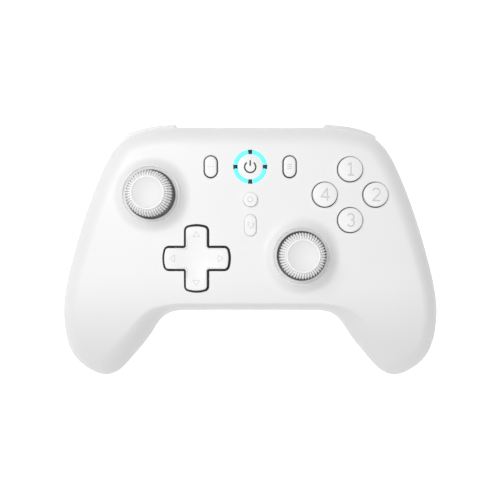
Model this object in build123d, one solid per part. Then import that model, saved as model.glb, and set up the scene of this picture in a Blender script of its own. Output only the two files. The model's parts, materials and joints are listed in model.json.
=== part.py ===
from build123d import *
import math
import os

import numpy as np

# A two-handed gamepad, face up. +Z is out of the face, +Y towards the triggers, +X to the player's right.
# The origin is on the rest plane under the middle of the body. All lengths are millimetres.

# Body outline, on the seam between the covers
HALF_WIDTH = 77.5
TOP_EDGE_Y = 49.8
BOTTOM_EDGE_Y = -25.0
GRIP_TIP_Y = -53.5
WIDEST_Y = -28.0
# Across: shares of the half width. Along: shares of the way from the grip tip to the top edge.
OUTER_EDGE_SHARES = [
    (0.0, 1.0), (0.19, 1.0), (0.39, 1.0), (0.551, 0.986), (0.659, 0.9535), (0.7445, 0.874),
    (0.804, 0.779), (0.876, 0.637), (0.9355, 0.4937), (0.9806, 0.364),
]
# Across: shares of the half width. Along: shares of the way from the grip tip to the bottom edge.
INNER_EDGE_SHARES = [
    (0.0, 1.0), (0.161, 1.0), (0.323, 0.998), (0.395, 0.986), (0.467, 0.902), (0.535, 0.66),
    (0.644, 0.291), (0.716, 0.0877), (0.788, 0.0), (0.892, 0.1018), (0.9587, 0.2912), (0.991, 0.537),
]

# Heights of the body
FACE_Z = 46.0
FACE_CROWN = 1.2
FACE_DROP = 20.0
FACE_DROP_START_Y = -8.0
SEAM_TOP_Z = 33.0
SEAM_DROP = 15.0
BACK_Z = 9.0
EDGE_ROUND = 9.5
BEVEL_ROUND = 5.0
BACK_ROUND = 13.0
WALL = 2.0
SEAM_GAP = 0.2
SEAM_OVERLAP = 0.5
LIP_HEIGHT = 1.6
LIP_WALL = 1.0
LIP_CLEARANCE = 0.15
# The bevel along the bottom edge: how much it is cut short of a full round, and where it widens and fades.
BEVEL_CREST_SHARE = 1.02
CREST_SOFTNESS_SHARE = 0.012
BEVEL_WIDENS_FROM_SHARE = 0.39
BEVEL_WIDENS_OVER_SHARE = 0.28
BEVEL_FADES_FROM_SHARE = 0.62
BEVEL_FADES_OVER_SHARE = 0.15
# Where the underside falls from the middle to the grips, as shares of the half width and of the top edge
GRIP_FROM_SHARE = 0.44
GRIP_OVER_SHARE = 0.28
GRIP_TOP_SHARE = 0.44
GRIP_REACH_SHARE = 0.88

# Sampling of the body's surfaces
EDGE_SAMPLES = 320
OUTER_STATIONS = 25
OUTER_POINTS = 17
INNER_STATIONS = 17
INNER_POINTS = 13
TIP_SHARE = 0.9985
BURY = 30.0
FAR = 70.0
OVERRUN = 1.0

# Battery housing raised on the back
PLATEAU_WIDTH = 58.0
PLATEAU_LENGTH = 42.0
PLATEAU_Y = 12.0
PLATEAU_CORNER = 8.0
PLATEAU_DRAFT_DEG = 28.0
PLATEAU_DEPTH = 14.0
BATTERY_WIDTH = 48.0
BATTERY_LENGTH = 32.0
BATTERY_THICKNESS = 9.0
BATTERY_ROUND = 2.0
BATTERY_REST_GAP = 0.2
LEAD_RADIUS = 0.6
LEAD_SPACING = 2.0

# Sticks
STICK_CENTRES = {"left": (-38.5, 21.5), "right": (19.9, -2.25)}
STICK_PIVOT_Z = 36.0
STICK_TILT = math.radians(13.0)
STICK_PRESS = 0.6
MOUND_TOP_Z = 48.5
MOUND_TOP_RADIUS = 11.9
MOUND_BASE_RADIUS = 16.4
RING_LIP_RADIUS = 11.4
RING_STEP_RADIUS = 10.85
RING_SEAT_RADIUS = 10.4
RING_BORE_RADIUS = 9.5
RING_HEIGHT = 1.2
RING_LIP_HEIGHT = 0.25
RING_STEP = 0.12
RING_FUNNEL = 0.7
RING_FIT = 0.05
DOME_RADIUS = 14.1
DOME_WALL = 1.0
DOME_EDGE_DEG = 61.5
DOME_CLEARANCE = 0.6
# Heights of the cap are above the stick's pivot.
CAP_TOP = 22.2
CAP_DISH_DROP = 0.8
CAP_DISH_RADIUS = 4.9
CAP_RIM_RADIUS = 6.5
CAP_RIM_DROP = 0.55
CAP_CONE_RADIUS = 8.2
CAP_CONE_DROP = 3.3
CAP_SKIRT_RADIUS = 9.0
CAP_SKIRT_DROP = 5.1
CAP_SKIRT_BOTTOM = 16.4
CAP_UNDER_RADIUS = 7.2
CAP_UNDER_Z = 16.8
CAP_NECK_RADIUS = 4.2
CAP_NECK_TOP = 15.6
RIB_COUNT = 48
RIB_RADIUS = 0.3
RIB_SINK = 0.08
SHAFT_RADIUS = 1.9
SHAFT_TOP = 19.0
SHAFT_BOTTOM = -4.6
SHAFT_FIT = 0.05
CORE_WIDTH = 5.6
CORE_HEIGHT = 3.8
CORE_PIN_RADIUS = 0.9
TILT_CLEARANCE = 0.1
# How far the shaft's lower rim comes down when the stick leans both ways at once
STICK_LEAN = math.acos(math.cos(STICK_TILT) ** 2)
SHAFT_DIP = SHAFT_RADIUS * math.sin(STICK_LEAN) + SHAFT_BOTTOM * (1 - math.cos(STICK_LEAN))
# Room beside the core for its corners when the stick leans
CORE_LEAN = CORE_WIDTH / 2 * (math.cos(STICK_TILT) - 1) + CORE_HEIGHT / 2 * math.sin(STICK_TILT)
CORE_GAP = CORE_LEAN + TILT_CLEARANCE
GIMBAL_WALL = 1.3
GIMBAL_WIDTH = CORE_WIDTH + 2 * CORE_GAP + 2 * GIMBAL_WALL
GIMBAL_HEIGHT = 3.2
# How high the gimbal's edge comes when the stick leans
GIMBAL_REACH = GIMBAL_WIDTH / 2 * math.sin(STICK_TILT) + GIMBAL_HEIGHT / 2 * math.cos(STICK_TILT)
GIMBAL_PIN_RADIUS = 1.0
PIN_END_GAP = 0.15
PIVOT_FIT = 0.05
MODULE_WIDTH = 15.0
MODULE_WALL = 1.2
MODULE_MOUTH_RADIUS = 5.6
MODULE_FLOOR = 1.0
MODULE_TOP = GIMBAL_REACH + TILT_CLEARANCE + MODULE_FLOOR
SENSOR_WIDTH = 9.0
SENSOR_DEPTH = 2.0
SENSOR_HEIGHT = 8.6
CLICK_SWITCH_RADIUS = 1.5
CLICK_SWITCH_GAP = 0.25

# Circuit board
BOARD_TOP_Z = 28.5
BOARD_THICKNESS = 1.6
BOARD_HALF_WIDTH = 54.5
BOARD_NORTH_Y = 34.6
BOARD_SOUTH_Y = -20.0
BOARD_TAB_HALF_WIDTH = 10.0
BOARD_TAB_Y = 46.2
BOARD_CORNER = 3.0
BOARD_POST_RADIUS = 2.8
BOARD_POSTS = [(-44.0, 3.0), (42.0, -14.0), (-27.5, 31.0), (31.5, 8.5)]
BOARD_HOLE_RADIUS = 1.35
BOARD_SCREW_RADIUS = 1.0
BOARD_SCREW_HEAD_RADIUS = 2.0
BOARD_SCREW_HEAD_HEIGHT = 1.2
BOARD_SCREW_LENGTH = 6.0
# Chips and plugs: middle x, middle y, width, length, height, and whether it sits under the board
BOARD_PARTS = [
    (-3.0, -5.0, 7.0, 7.0, 0.9, False), (4.5, -6.5, 3.2, 2.5, 0.7, False), (-44.0, -12.0, 5.0, 5.0, 0.8, False),
    (50.0, 2.0, 4.0, 4.0, 0.8, False), (0.0, 26.0, 6.0, 6.0, 1.0, True), (9.0, 20.0, 5.0, 4.0, 1.2, True),
    (-20.0, 16.0, 8.0, 4.5, 4.5, True), (14.0, -10.0, 6.0, 3.5, 2.2, True), (-35.0, 22.0, 4.0, 3.0, 1.4, True),
]
BOARD_PART_ROUND = 0.2
BATTERY_PLUG = 6

# Charging socket
USB_WIDTH = 8.94
USB_HEIGHT = 3.2
USB_LENGTH = 7.3
USB_WALL = 0.35
USB_TONGUE_WIDTH = 6.7
USB_TONGUE_HEIGHT = 0.7
USB_TONGUE_LENGTH = 5.0
USB_INSET = 0.4
USB_OPENING_GAP = 0.3

# Inner frame behind the face
FRAME_TOP_Z = 42.5
FRAME_THICKNESS = 1.5
FRAME_WEST_X = -40.0
FRAME_EAST_X = 55.0
FRAME_NORTH_Y = 39.0
FRAME_SOUTH_Y = -18.4
FRAME_CORNER = 7.0
FRAME_STICK_GAP = 0.9
FRAME_EDGE_GAP = 0.5
FRAME_LEG_RADIUS = 1.8
FRAME_LEGS = [(-12.0, 20.5), (12.0, 18.5), (27.0, 32.4), (-37.5, -14.0)]
FRAME_LEG_GAP = 0.1
FRAME_BUTTON_GAP = 0.25
POST_HOLE_GAP = 0.4
COLLAR_FIT = 0.05
COLLAR_TOP_DROP = 0.6

# Buttons
FACE_PAD_X = 39.0
FACE_PAD_Y = 21.6
FACE_PAD_RADIUS = 9.93
FACE_BUTTON_RADIUS = 4.7
FACE_BUTTON_GAP = 0.38
FACE_BUTTON_PROUD = 1.7
FACE_BUTTON_ROUND = 0.5
CROWN_RADIUS = 26.0
FLANGE_EXTRA = 1.0
FLANGE_THICKNESS = 1.0
FLANGE_GAP = 0.3
STEM_RADIUS = 2.0
STEM_BOTTOM_Z = 34.0
MEMBRANE_GAP = 0.15
MEMBRANE_SHEET = 0.8
MEMBRANE_WALL = 0.7
MEMBRANE_DOME_RADIUS = 3.6
MEMBRANE_MARGIN = 4.6
MEMBRANE_PAD_HEIGHT = 0.8
MENU_ROW_Y = 32.5
MENU_X = 15.4
MENU_WIDTH = 4.6
MENU_LENGTH = 8.0
MENU_PROUD = 0.9
MENU_GAP = 0.18
MENU_COLLAR = 0.32
MENU_ROUND = 0.45
SMALL_RADIUS = 2.85
SMALL_Y = 19.65
MODE_Y = 9.64
MODE_WIDTH = 4.9
MODE_LENGTH = 8.6
SMALL_PROUD = 1.0
SMALL_GAP = 0.15
HOME_RADIUS = 4.85
HOME_PROUD = 0.55
HOME_GAP = 0.15
HOME_RING_OUTER = 6.6
HOME_RING_DEPTH = 1.2
HOME_RING_DIVIDER = 1.6
HOME_RING_PROUD = 0.15
HOME_RING_FIT = 0.05

# Direction pad
PAD_X = -20.96
PAD_Y = -3.3
PAD_LENGTH = 25.0
PAD_ARM_WIDTH = 8.1
PAD_END_BULGE = 0.75
PAD_CORNER = 1.3
PAD_INNER_CORNER = 0.6
PAD_GAP = 0.36
PAD_COLLAR = 0.42
PAD_PROUD = 1.4
PAD_DISH_RADIUS = 80.0
PAD_DISH_DEPTH = 0.6
PAD_ROUND = 0.45
PAD_PIVOT_Z = 43.4
PAD_BALL_RADIUS = 1.6
PAD_BALL_FIT = 0.05
PAD_POST_RADIUS = 2.0
PAD_POST_DROP = 0.7
PAD_BORE_RADIUS = 2.9
PAD_SOCKET_RISE = 0.5
PAD_TILT = math.radians(3.5)
PAD_TILT_CLEARANCE = 0.15
PAD_FLANGE_RADIUS = 10.5
# The pad may lean both ways at once, which lifts a point between two arms the most.
PAD_FLANGE_GAP = PAD_FLANGE_RADIUS * math.sin(PAD_TILT) * math.sqrt(2) + PAD_TILT_CLEARANCE
PAD_FOOT_OFFSET = 8.4
PAD_FOOT_RADIUS = 1.5

# Shoulder buttons
BUMPER_INNER_X = 30.4
BUMPER_OUTER_X = 51.6
BUMPER_PROUD = 1.0
BUMPER_DEPTH = 2.6
BUMPER_BOTTOM_Z = 23.6
BUMPER_TOP_Z = 32.4
BUMPER_GAP = 0.4
BUMPER_ROUND = 0.6
BUMPER_PIVOT_X = 33.5
BUMPER_PIVOT_Y = 43.0
BUMPER_BOSS_RADIUS = 2.3
BUMPER_PIN_RADIUS = 1.0
BUMPER_PIN_FIT = 0.06
BUMPER_ARM_WIDTH = 3.2
BUMPER_ARM_INSET = 1.2
BUMPER_SWING = math.radians(2.4)
BUMPER_ROOM = (BUMPER_OUTER_X - BUMPER_PIVOT_X) * math.sin(BUMPER_SWING) + BUMPER_GAP
BUMPER_STATIONS = 9
PUSHER_WIDTH = 3.0
SHELF_TOP_Z = 23.0
SHELF_THICKNESS = 1.2
SHELF_REACH = 13.5
SHOULDER_BOARD_X0 = 39.5
SHOULDER_BOARD_X1 = 50.0
SHOULDER_BOARD_Y = 37.0
SHOULDER_BOARD_THICKNESS = 1.0
SWITCH_WIDTH = 5.0
SWITCH_LENGTH = 2.6
SWITCH_HEIGHT = 4.4
SWITCH_X = 45.5
SWITCH_Z = 28.0
SWITCH_PLUNGER_RADIUS = 1.0
SWITCH_PLUNGER_LENGTH = 0.7
SWITCH_REACH_GAP = 0.62

# Triggers
TRIGGER_INNER_X = 33.0
TRIGGER_OUTER_X = 52.0
TRIGGER_ARM_X0 = 34.0
TRIGGER_ARM_X1 = 45.0
TRIGGER_PIVOT_Y = 38.0
TRIGGER_PIVOT_Z = 18.2
TRIGGER_BOSS_RADIUS = 2.5
TRIGGER_PIN_RADIUS = 1.0
TRIGGER_PIN_FIT = 0.05
TRIGGER_SIDE_GAP = 0.6
TRIGGER_STATIONS = 6
# Side profile of the finger lever: how far out from the body's outline, and how far up from the pivot
TRIGGER_PROFILE = [
    (-0.3, 4.0), (0.8, 3.7), (1.7, -0.5), (2.4, -5.5), (2.9, -10.0), (3.0, -12.6),
    (1.7, -13.3), (0.9, -9.5), (-0.4, -5.5), (-1.3, -2.4), (-1.3, 0.6),
]
TRIGGER_ARM_TOP = 2.3
TRIGGER_ARM_BOTTOM = 2.2
TAIL_X0 = 35.0
TAIL_X1 = 39.0
TAIL_REACH = 4.2
TAIL_HEIGHT = 2.6
MAGNET_RADIUS = 0.9
MAGNET_LENGTH = 1.4
MAGNET_FIT = 0.03
POCKET_BACK_GAP = 0.8
POCKET_WALL = 1.4
POCKET_MOUTH_Y = 40.5
SENSOR_BOARD_THICKNESS = 1.0
SENSOR_BOARD_HEIGHT = 6.0
SENSOR_CHIP = 1.6
SENSOR_CHIP_HEIGHT = 0.8
SPRING_X = 41.8
SPRING_SLOT = 3.6
SPRING_WIRE_RADIUS = 0.25
SPRING_RADIUS = 1.7
SPRING_TURNS = 3
SPRING_PITCH = 0.75
SPRING_LEG = 3.2

# Rumble motors in the grips
MOTOR_X = 57.0
MOTOR_Z = 17.0
MOTOR_BACK_Y = 0.0
MOTOR_LENGTH = 14.0
MOTOR_RADIUS = 6.2
MOTOR_ROUND = 0.6
MOTOR_SHAFT_RADIUS = 1.0
MOTOR_SHAFT_LENGTH = 10.5
MOTOR_SHAFT_SUNK = 3.0
MOTOR_SHAFT_FIT = 0.05
MOTOR_BUSH_RADIUS = 2.2
MOTOR_BUSH_LENGTH = 1.0
MOTOR_CONTACT_WIDTH = 2.0
MOTOR_CONTACT_LENGTH = 1.6
MOTOR_CONTACT_THICKNESS = 0.4
WEIGHT_RADIUS = 7.4
WEIGHT_HUB_RADIUS = 2.4
WEIGHT_LENGTH = 6.5
WEIGHT_GAP = 1.5
CRADLE_THICKNESS = 2.0
CRADLE_WIDTH = 15.0
CRADLE_FIT = 0.1
CRADLE_INSET = 2.5

# Case screws, put in from the back
SCREW_POSTS = [(-62.0, 10.0), (62.0, 10.0), (-61.0, -38.0), (61.0, -38.0), (-1.5, -16.0)]
POST_RADIUS = 3.0
SCREW_RADIUS = 1.3
SCREW_FIT = 0.05
SCREW_HEAD_RADIUS = 2.5
SCREW_HEAD_HEIGHT = 1.6
SCREW_LENGTH = 14.0
SCREW_DRIVE_WIDTH = 0.7
SCREW_DRIVE_DEPTH = 0.8
WELL_RADIUS = 4.4
WELL_BORE_RADIUS = 3.0
WELL_TOP_Z = 17.0
WELL_FLOOR = 1.8
POST_GAP = 0.1

os.makedirs("parts", exist_ok=True)


def save(name, shape):
    export_step(shape if isinstance(shape, Compound) else Compound(children=[shape]), f"parts/{name}.step")


def group(solids):
    return Compound(children=list(solids))


def moved_to(shape, x, y, z):
    return Location((x, y, z)) * shape


def disc(radius, low, high, x=0, y=0):
    """A vertical cylinder between two heights."""
    return moved_to(Cylinder(radius, high - low), x, y, (low + high) / 2)


def block(x0, x1, y0, y1, z0, z1):
    """A box given by its faces."""
    return moved_to(Box(x1 - x0, y1 - y0, z1 - z0), (x0 + x1) / 2, (y0 + y1) / 2, (z0 + z1) / 2)


def rod_x(radius, x0, x1, y, z):
    return Location(((x0 + x1) / 2, y, z), (0, 90, 0)) * Cylinder(radius, abs(x1 - x0))


def rod_y(radius, y0, y1, x, z):
    return Location((x, (y0 + y1) / 2, z), (90, 0, 0)) * Cylinder(radius, abs(y1 - y0))


# Body outline and surfaces

def through(points, start_slope, end_slope, samples):
    """A cubic spline through the points with the given end directions, as evenly spaced samples."""
    p = np.array(points, float)
    h = np.hypot(*np.diff(p, axis=0).T)
    at = np.concatenate([[0], np.cumsum(h)])
    last = len(p) - 1
    matrix = np.eye(last + 1)
    slopes = np.zeros((last + 1, 2))
    slopes[0], slopes[last] = start_slope, end_slope
    for i in range(1, last):
        matrix[i, i - 1], matrix[i, i + 1] = 1 / h[i - 1], 1 / h[i]
        matrix[i, i] = 2 / h[i - 1] + 2 / h[i]
        slopes[i] = 3 * (p[i] - p[i - 1]) / h[i - 1] ** 2 + 3 * (p[i + 1] - p[i]) / h[i] ** 2
    slopes = np.linalg.solve(matrix, slopes)
    found = []
    for s in np.linspace(0, at[-1], samples):
        i = min(int(np.searchsorted(at, s, side="right")) - 1, last - 1)
        u = (s - at[i]) / h[i]
        found.append(
            (2 * u**3 - 3 * u**2 + 1) * p[i] + (u**3 - 2 * u**2 + u) * h[i] * slopes[i]
            + (3 * u**2 - 2 * u**3) * p[i + 1] + (u**3 - u**2) * h[i] * slopes[i + 1]
        )
    return np.array(found)


def edge_points(shares, top_y):
    return [(HALF_WIDTH * across, GRIP_TIP_Y + (top_y - GRIP_TIP_Y) * along) for across, along in shares]


WIDEST = (HALF_WIDTH, WIDEST_Y)
OUTER_EDGE = through(edge_points(OUTER_EDGE_SHARES, TOP_EDGE_Y) + [WIDEST], (1, 0), (0, -1), EDGE_SAMPLES)
INNER_EDGE = through(edge_points(INNER_EDGE_SHARES, BOTTOM_EDGE_Y) + [WIDEST], (1, 0), (0, 1), EDGE_SAMPLES)
TIP_INDEX = int(np.argmin(INNER_EDGE[:, 1]))
ROUND_LINE = np.vstack([OUTER_EDGE, INNER_EDGE[TIP_INDEX:][::-1]])
BEVEL_LINE = INNER_EDGE[: TIP_INDEX + 1]


def distance(x, y, line):
    """How far a point lies from a line of samples, by the mirrored half."""
    start, step = line[:-1], np.diff(line, axis=0)
    offset = np.array([abs(x), y]) - start
    share = np.clip((offset * step).sum(1) / (step**2).sum(1), 0, 1)
    return float(np.hypot(*(offset - step * share[:, None]).T).min())


def clamped(u):
    return min(max(u, 0.0), 1.0)


def eased(u):
    u = clamped(u)
    return u * u * (3 - 2 * u)


def quarter_round(u):
    """The height of a round edge, as a share, at a share of its width."""
    return math.sqrt(1 - (1 - clamped(u)) ** 2)


def soft_min(a, b, width):
    bite = max(width - abs(a - b), 0.0) / width
    return min(a, b) - bite * bite * width / 4


def seam_z(y):
    """The seam falls away towards the grips along a parabola."""
    share = (TOP_EDGE_Y - y) / (TOP_EDGE_Y - GRIP_TIP_Y)
    return SEAM_TOP_Z - SEAM_DROP * share * share


def face_z(x, y):
    """The broad face, without its rounded edges."""
    drop = max(FACE_DROP_START_Y - y, 0.0) / (FACE_DROP_START_Y - GRIP_TIP_Y)
    return FACE_Z - FACE_CROWN * (x / HALF_WIDTH) ** 2 - FACE_DROP * drop * drop


def front_z(x, y, inset=0.0):
    """Height of the front cover's surface, or of the surface one wall under it."""
    share = abs(x) / HALF_WIDTH
    widening = eased((share - BEVEL_WIDENS_FROM_SHARE) / BEVEL_WIDENS_OVER_SHARE)
    fading = eased((share - BEVEL_FADES_FROM_SHARE) / BEVEL_FADES_OVER_SHARE)
    bevel = BEVEL_ROUND + (EDGE_ROUND - BEVEL_ROUND) * widening
    crest = 1 + (BEVEL_CREST_SHARE - 1) * (1 - fading)
    rounded = quarter_round((distance(x, y, ROUND_LINE) - inset) / (EDGE_ROUND - inset))
    bevelled = crest * quarter_round((distance(x, y, BEVEL_LINE) - inset) / (bevel - inset))
    rise = soft_min(min(rounded, bevelled), 1.0, CREST_SOFTNESS_SHARE)
    low = seam_z(y) - SEAM_OVERLAP
    return low + (face_z(x, y) - inset - low) * rise


def back_z(x, y, inset=0.0):
    """Height of the back cover's surface, or of the surface one wall inside it."""
    grip = eased((abs(x) / HALF_WIDTH - GRIP_FROM_SHARE) / GRIP_OVER_SHARE)
    along = eased((TOP_EDGE_Y * GRIP_TOP_SHARE - y) / (TOP_EDGE_Y * GRIP_REACH_SHARE))
    gap = min(distance(x, y, ROUND_LINE), distance(x, y, BEVEL_LINE))
    rise = quarter_round((gap - inset) / (BACK_ROUND - inset))
    high = seam_z(y) + SEAM_OVERLAP
    return high - (high - BACK_Z * (1 - grip * along) - inset) * rise


def span_at(x, inset):
    """The lowest and highest y of the outline at x, drawn in by the inset."""
    x = abs(x)
    low = float(np.interp(x, INNER_EDGE[:, 0], INNER_EDGE[:, 1]))
    high = float(np.interp(x, OUTER_EDGE[:, 0], OUTER_EDGE[:, 1]))
    if not inset:
        return low, high
    middle = (low + high) / 2
    ends = []
    for outside in (low, high):
        inside = middle
        for _ in range(24):
            trial = (inside + outside) / 2
            gap = min(distance(x, trial, ROUND_LINE), distance(x, trial, BEVEL_LINE))
            inside, outside = (trial, outside) if gap > inset else (inside, trial)
        ends.append(inside)
    return ends[0], ends[1]


def lofted(height, inset, stations, points, buried):
    """A solid under or over one of the body's surfaces, lofted across from grip to grip."""
    reach = (HALF_WIDTH - inset) * TIP_SHARE
    sections = []
    for i in range(stations):
        x = reach * math.sin(math.pi * (i / (stations - 1) - 0.5))
        low, high = span_at(x, inset)
        row = []
        for j in range(points):
            y = low + (high - low) * (1 - math.cos(math.pi * j / (points - 1))) / 2
            row.append(Vector(x, y, height(x, y, inset)))
        first, last = row[0], row[-1]
        below = Vector(0, 0, buried)
        sections.append(Wire([
            Spline(*row), Line(last, last + below), Line(last + below, first + below), Line(first + below, first),
        ]))
    return Solid.make_loft(sections, ruled=False)


def seam_prism(low, high):
    """The space between two shifts of the seam surface, as one prism right across the body."""
    south, north = GRIP_TIP_Y - WALL, TOP_EDGE_Y + WALL
    # The control point of the parabola is where its end tangents meet.
    slope = 2 * SEAM_DROP * (TOP_EDGE_Y - south) / (TOP_EDGE_Y - GRIP_TIP_Y) ** 2
    sides = []
    for shift in (low, high):
        start, end = seam_z(south) + shift, seam_z(north) + shift
        sides.append(Bezier((0, south, start), (0, (south + north) / 2, start + slope * (north - south) / 2),
                            (0, north, end)))
    under, over = sides
    face = Face(Wire([under, Line(under @ 1, over @ 1), over, Line(over @ 0, under @ 0)]))
    reach = HALF_WIDTH + WALL
    return moved_to(Solid.extrude(face, Vector(2 * reach, 0, 0)), -reach, 0, 0)


def pill(width, length, low, high, x, y):
    """An upright button outline: a slot shape along Y."""
    outline = Location((x, y, low)) * SlotOverall(length, width, rotation=90)
    return extrude(outline, high - low)


def arm_outline(length, width, corner, inner_corner, bulge):
    """The direction pad's cross, whose arm ends bulge a little."""
    half, side = length / 2, width / 2
    end = half - bulge
    east = Line((side, side), (end, side)) + ThreePointArc((end, side), (half, 0), (end, -side))
    lines = []
    for turn in range(4):
        lines += [Rot(0, 0, 90 * turn) * edge for edge in east.edges()]
        lines.append(Rot(0, 0, 90 * turn) * Line((end, -side), (side, -side)))
    face = make_face(lines)
    outer = [v for v in face.vertices() if max(abs(v.X), abs(v.Y)) > (half + side) / 2]
    face = fillet(outer, corner)
    inner = [v for v in face.vertices() if abs(abs(v.X) - side) + abs(abs(v.Y) - side) < bulge / 10]
    return fillet(inner, inner_corner)


def pad_shape(extra, low, high):
    """The cross, grown by a gap, between two heights."""
    face = arm_outline(
        PAD_LENGTH + 2 * extra, PAD_ARM_WIDTH + 2 * extra, PAD_CORNER + extra / 2,
        PAD_INNER_CORNER, PAD_END_BULGE,
    )
    return moved_to(extrude(face, high - low), PAD_X, PAD_Y, low)


FACE_BUTTONS = {
    "button_north": (FACE_PAD_X, FACE_PAD_Y + FACE_PAD_RADIUS),
    "button_south": (FACE_PAD_X, FACE_PAD_Y - FACE_PAD_RADIUS),
    "button_east": (FACE_PAD_X + FACE_PAD_RADIUS, FACE_PAD_Y),
    "button_west": (FACE_PAD_X - FACE_PAD_RADIUS, FACE_PAD_Y),
}


def ring_of(outer, inner, low, high, x=0, y=0):
    return disc(outer, low, high, x, y) - disc(inner, low - OVERRUN, high + OVERRUN, x, y)


def turned(profile):
    """A revolve of a closed profile given as radius and height pairs."""
    return revolve(Plane.XZ * make_face(Polyline(*profile, close=True)), Axis.Z)


def menu_opening(extra, low, high, x):
    return pill(MENU_WIDTH + 2 * extra, MENU_LENGTH + 2 * extra, low, high, x, MENU_ROW_Y)


def front_cover():
    """The face shell: stick mounds, button openings, and posts for the case screws."""
    mounds, posts, cuts = [], [], []
    for x, y in STICK_CENTRES.values():
        base = FACE_Z - WALL
        mounds.append(moved_to(turned([
            (0, base), (MOUND_BASE_RADIUS, base), (MOUND_BASE_RADIUS, FACE_Z - FACE_CROWN / 2),
            (MOUND_TOP_RADIUS, MOUND_TOP_Z), (0, MOUND_TOP_Z),
        ]), x, y, 0))
        cuts.append(moved_to(Sphere(DOME_RADIUS + DOME_CLEARANCE), x, y, STICK_PIVOT_Z))
        cuts.append(disc(RING_SEAT_RADIUS + RING_FIT, MOUND_TOP_Z - RING_HEIGHT, MOUND_TOP_Z + OVERRUN, x, y))
    for x, y in SCREW_POSTS:
        posts.append(disc(POST_RADIUS, WELL_TOP_Z + POST_GAP, FACE_Z, x, y))
        bore_top = min(WELL_TOP_Z + SCREW_LENGTH, face_z(x, y) - 2 * WALL)
        cuts.append(disc(SCREW_RADIUS + SCREW_FIT, WELL_TOP_Z - WALL, bore_top, x, y))
    low, high = FRAME_TOP_Z, FACE_Z + WALL
    for x, y in FACE_BUTTONS.values():
        cuts.append(disc(FACE_BUTTON_RADIUS + FACE_BUTTON_GAP, low, high, x, y))
    for x in (-MENU_X, MENU_X):
        cuts.append(menu_opening(MENU_GAP + MENU_COLLAR, low, high, x))
    cuts.append(disc(HOME_RING_OUTER + HOME_RING_FIT, low, high, 0, MENU_ROW_Y))
    cuts.append(disc(SMALL_RADIUS + SMALL_GAP, low, high, 0, SMALL_Y))
    cuts.append(pill(MODE_WIDTH + 2 * SMALL_GAP, MODE_LENGTH + 2 * SMALL_GAP, low, high, 0, MODE_Y))
    cuts.append(pad_shape(PAD_GAP + PAD_COLLAR, low, high))
    solid = lofted(front_z, 0.0, OUTER_STATIONS, OUTER_POINTS, -BURY) + mounds
    cavity = lofted(front_z, WALL, INNER_STATIONS, INNER_POINTS, -BURY) - posts
    rebate = lofted(front_z, WALL - LIP_WALL, INNER_STATIONS, INNER_POINTS, -BURY)
    rebate = rebate & seam_prism(-FAR, LIP_HEIGHT + LIP_CLEARANCE)
    return solid - [seam_prism(-FAR, SEAM_GAP / 2), cavity, rebate, *cuts]


def outline_row(offset, x0, x1, count):
    """Points along the far edge of the body, pushed out by the offset, at even steps in x."""
    step = np.gradient(OUTER_EDGE, axis=0)
    step /= np.hypot(*step.T)[:, None]
    pushed = OUTER_EDGE + offset * np.stack([-step[:, 1], step[:, 0]], axis=1)
    return [(float(x), float(np.interp(x, pushed[:, 0], pushed[:, 1]))) for x in np.linspace(x0, x1, count)]


def bumper_band(outer, inner, gap, low, high):
    """The curved band of a shoulder button, grown at its two ends by the gap."""
    x0, x1 = BUMPER_INNER_X - gap, BUMPER_OUTER_X + gap
    far = [Vector(x, y) for x, y in outline_row(outer, x0, x1, BUMPER_STATIONS)]
    near = [Vector(x, y) for x, y in outline_row(inner, x0, x1, BUMPER_STATIONS)]
    edges = [Spline(*far), Line(far[-1], near[-1]), Spline(*near[::-1]), Line(near[0], far[0])]
    return moved_to(extrude(make_face(edges), high - low), 0, 0, low)


def mirrored(shape):
    return mirror(shape, Plane.YZ)


def pocket_block(wall, south, low, high):
    """The room that the trigger's arm swings in, grown by a wall."""
    gap = TRIGGER_SIDE_GAP + wall
    return block(TRIGGER_ARM_X0 - gap, TRIGGER_ARM_X1 + gap, south, TOP_EDGE_Y + WALL, low, high)


POCKET_SOUTH_Y = TRIGGER_PIVOT_Y - TAIL_REACH - POCKET_BACK_GAP
SHELF_BOTTOM_Z = SHELF_TOP_Z - SHELF_THICKNESS


def rounded_plate(width, length, corner, low, high, x, y):
    outline = Location((x, y, low)) * RectangleRounded(width, length, corner)
    return extrude(outline, high - low)


def plateau(wall):
    """The raised battery housing, or the room inside it."""
    drop = PLATEAU_DEPTH - wall
    outline = RectangleRounded(PLATEAU_WIDTH - 2 * wall, PLATEAU_LENGTH - 2 * wall, PLATEAU_CORNER - wall)
    return extrude(Location((0, PLATEAU_Y, wall)) * outline, drop, taper=-PLATEAU_DRAFT_DEG)


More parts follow.
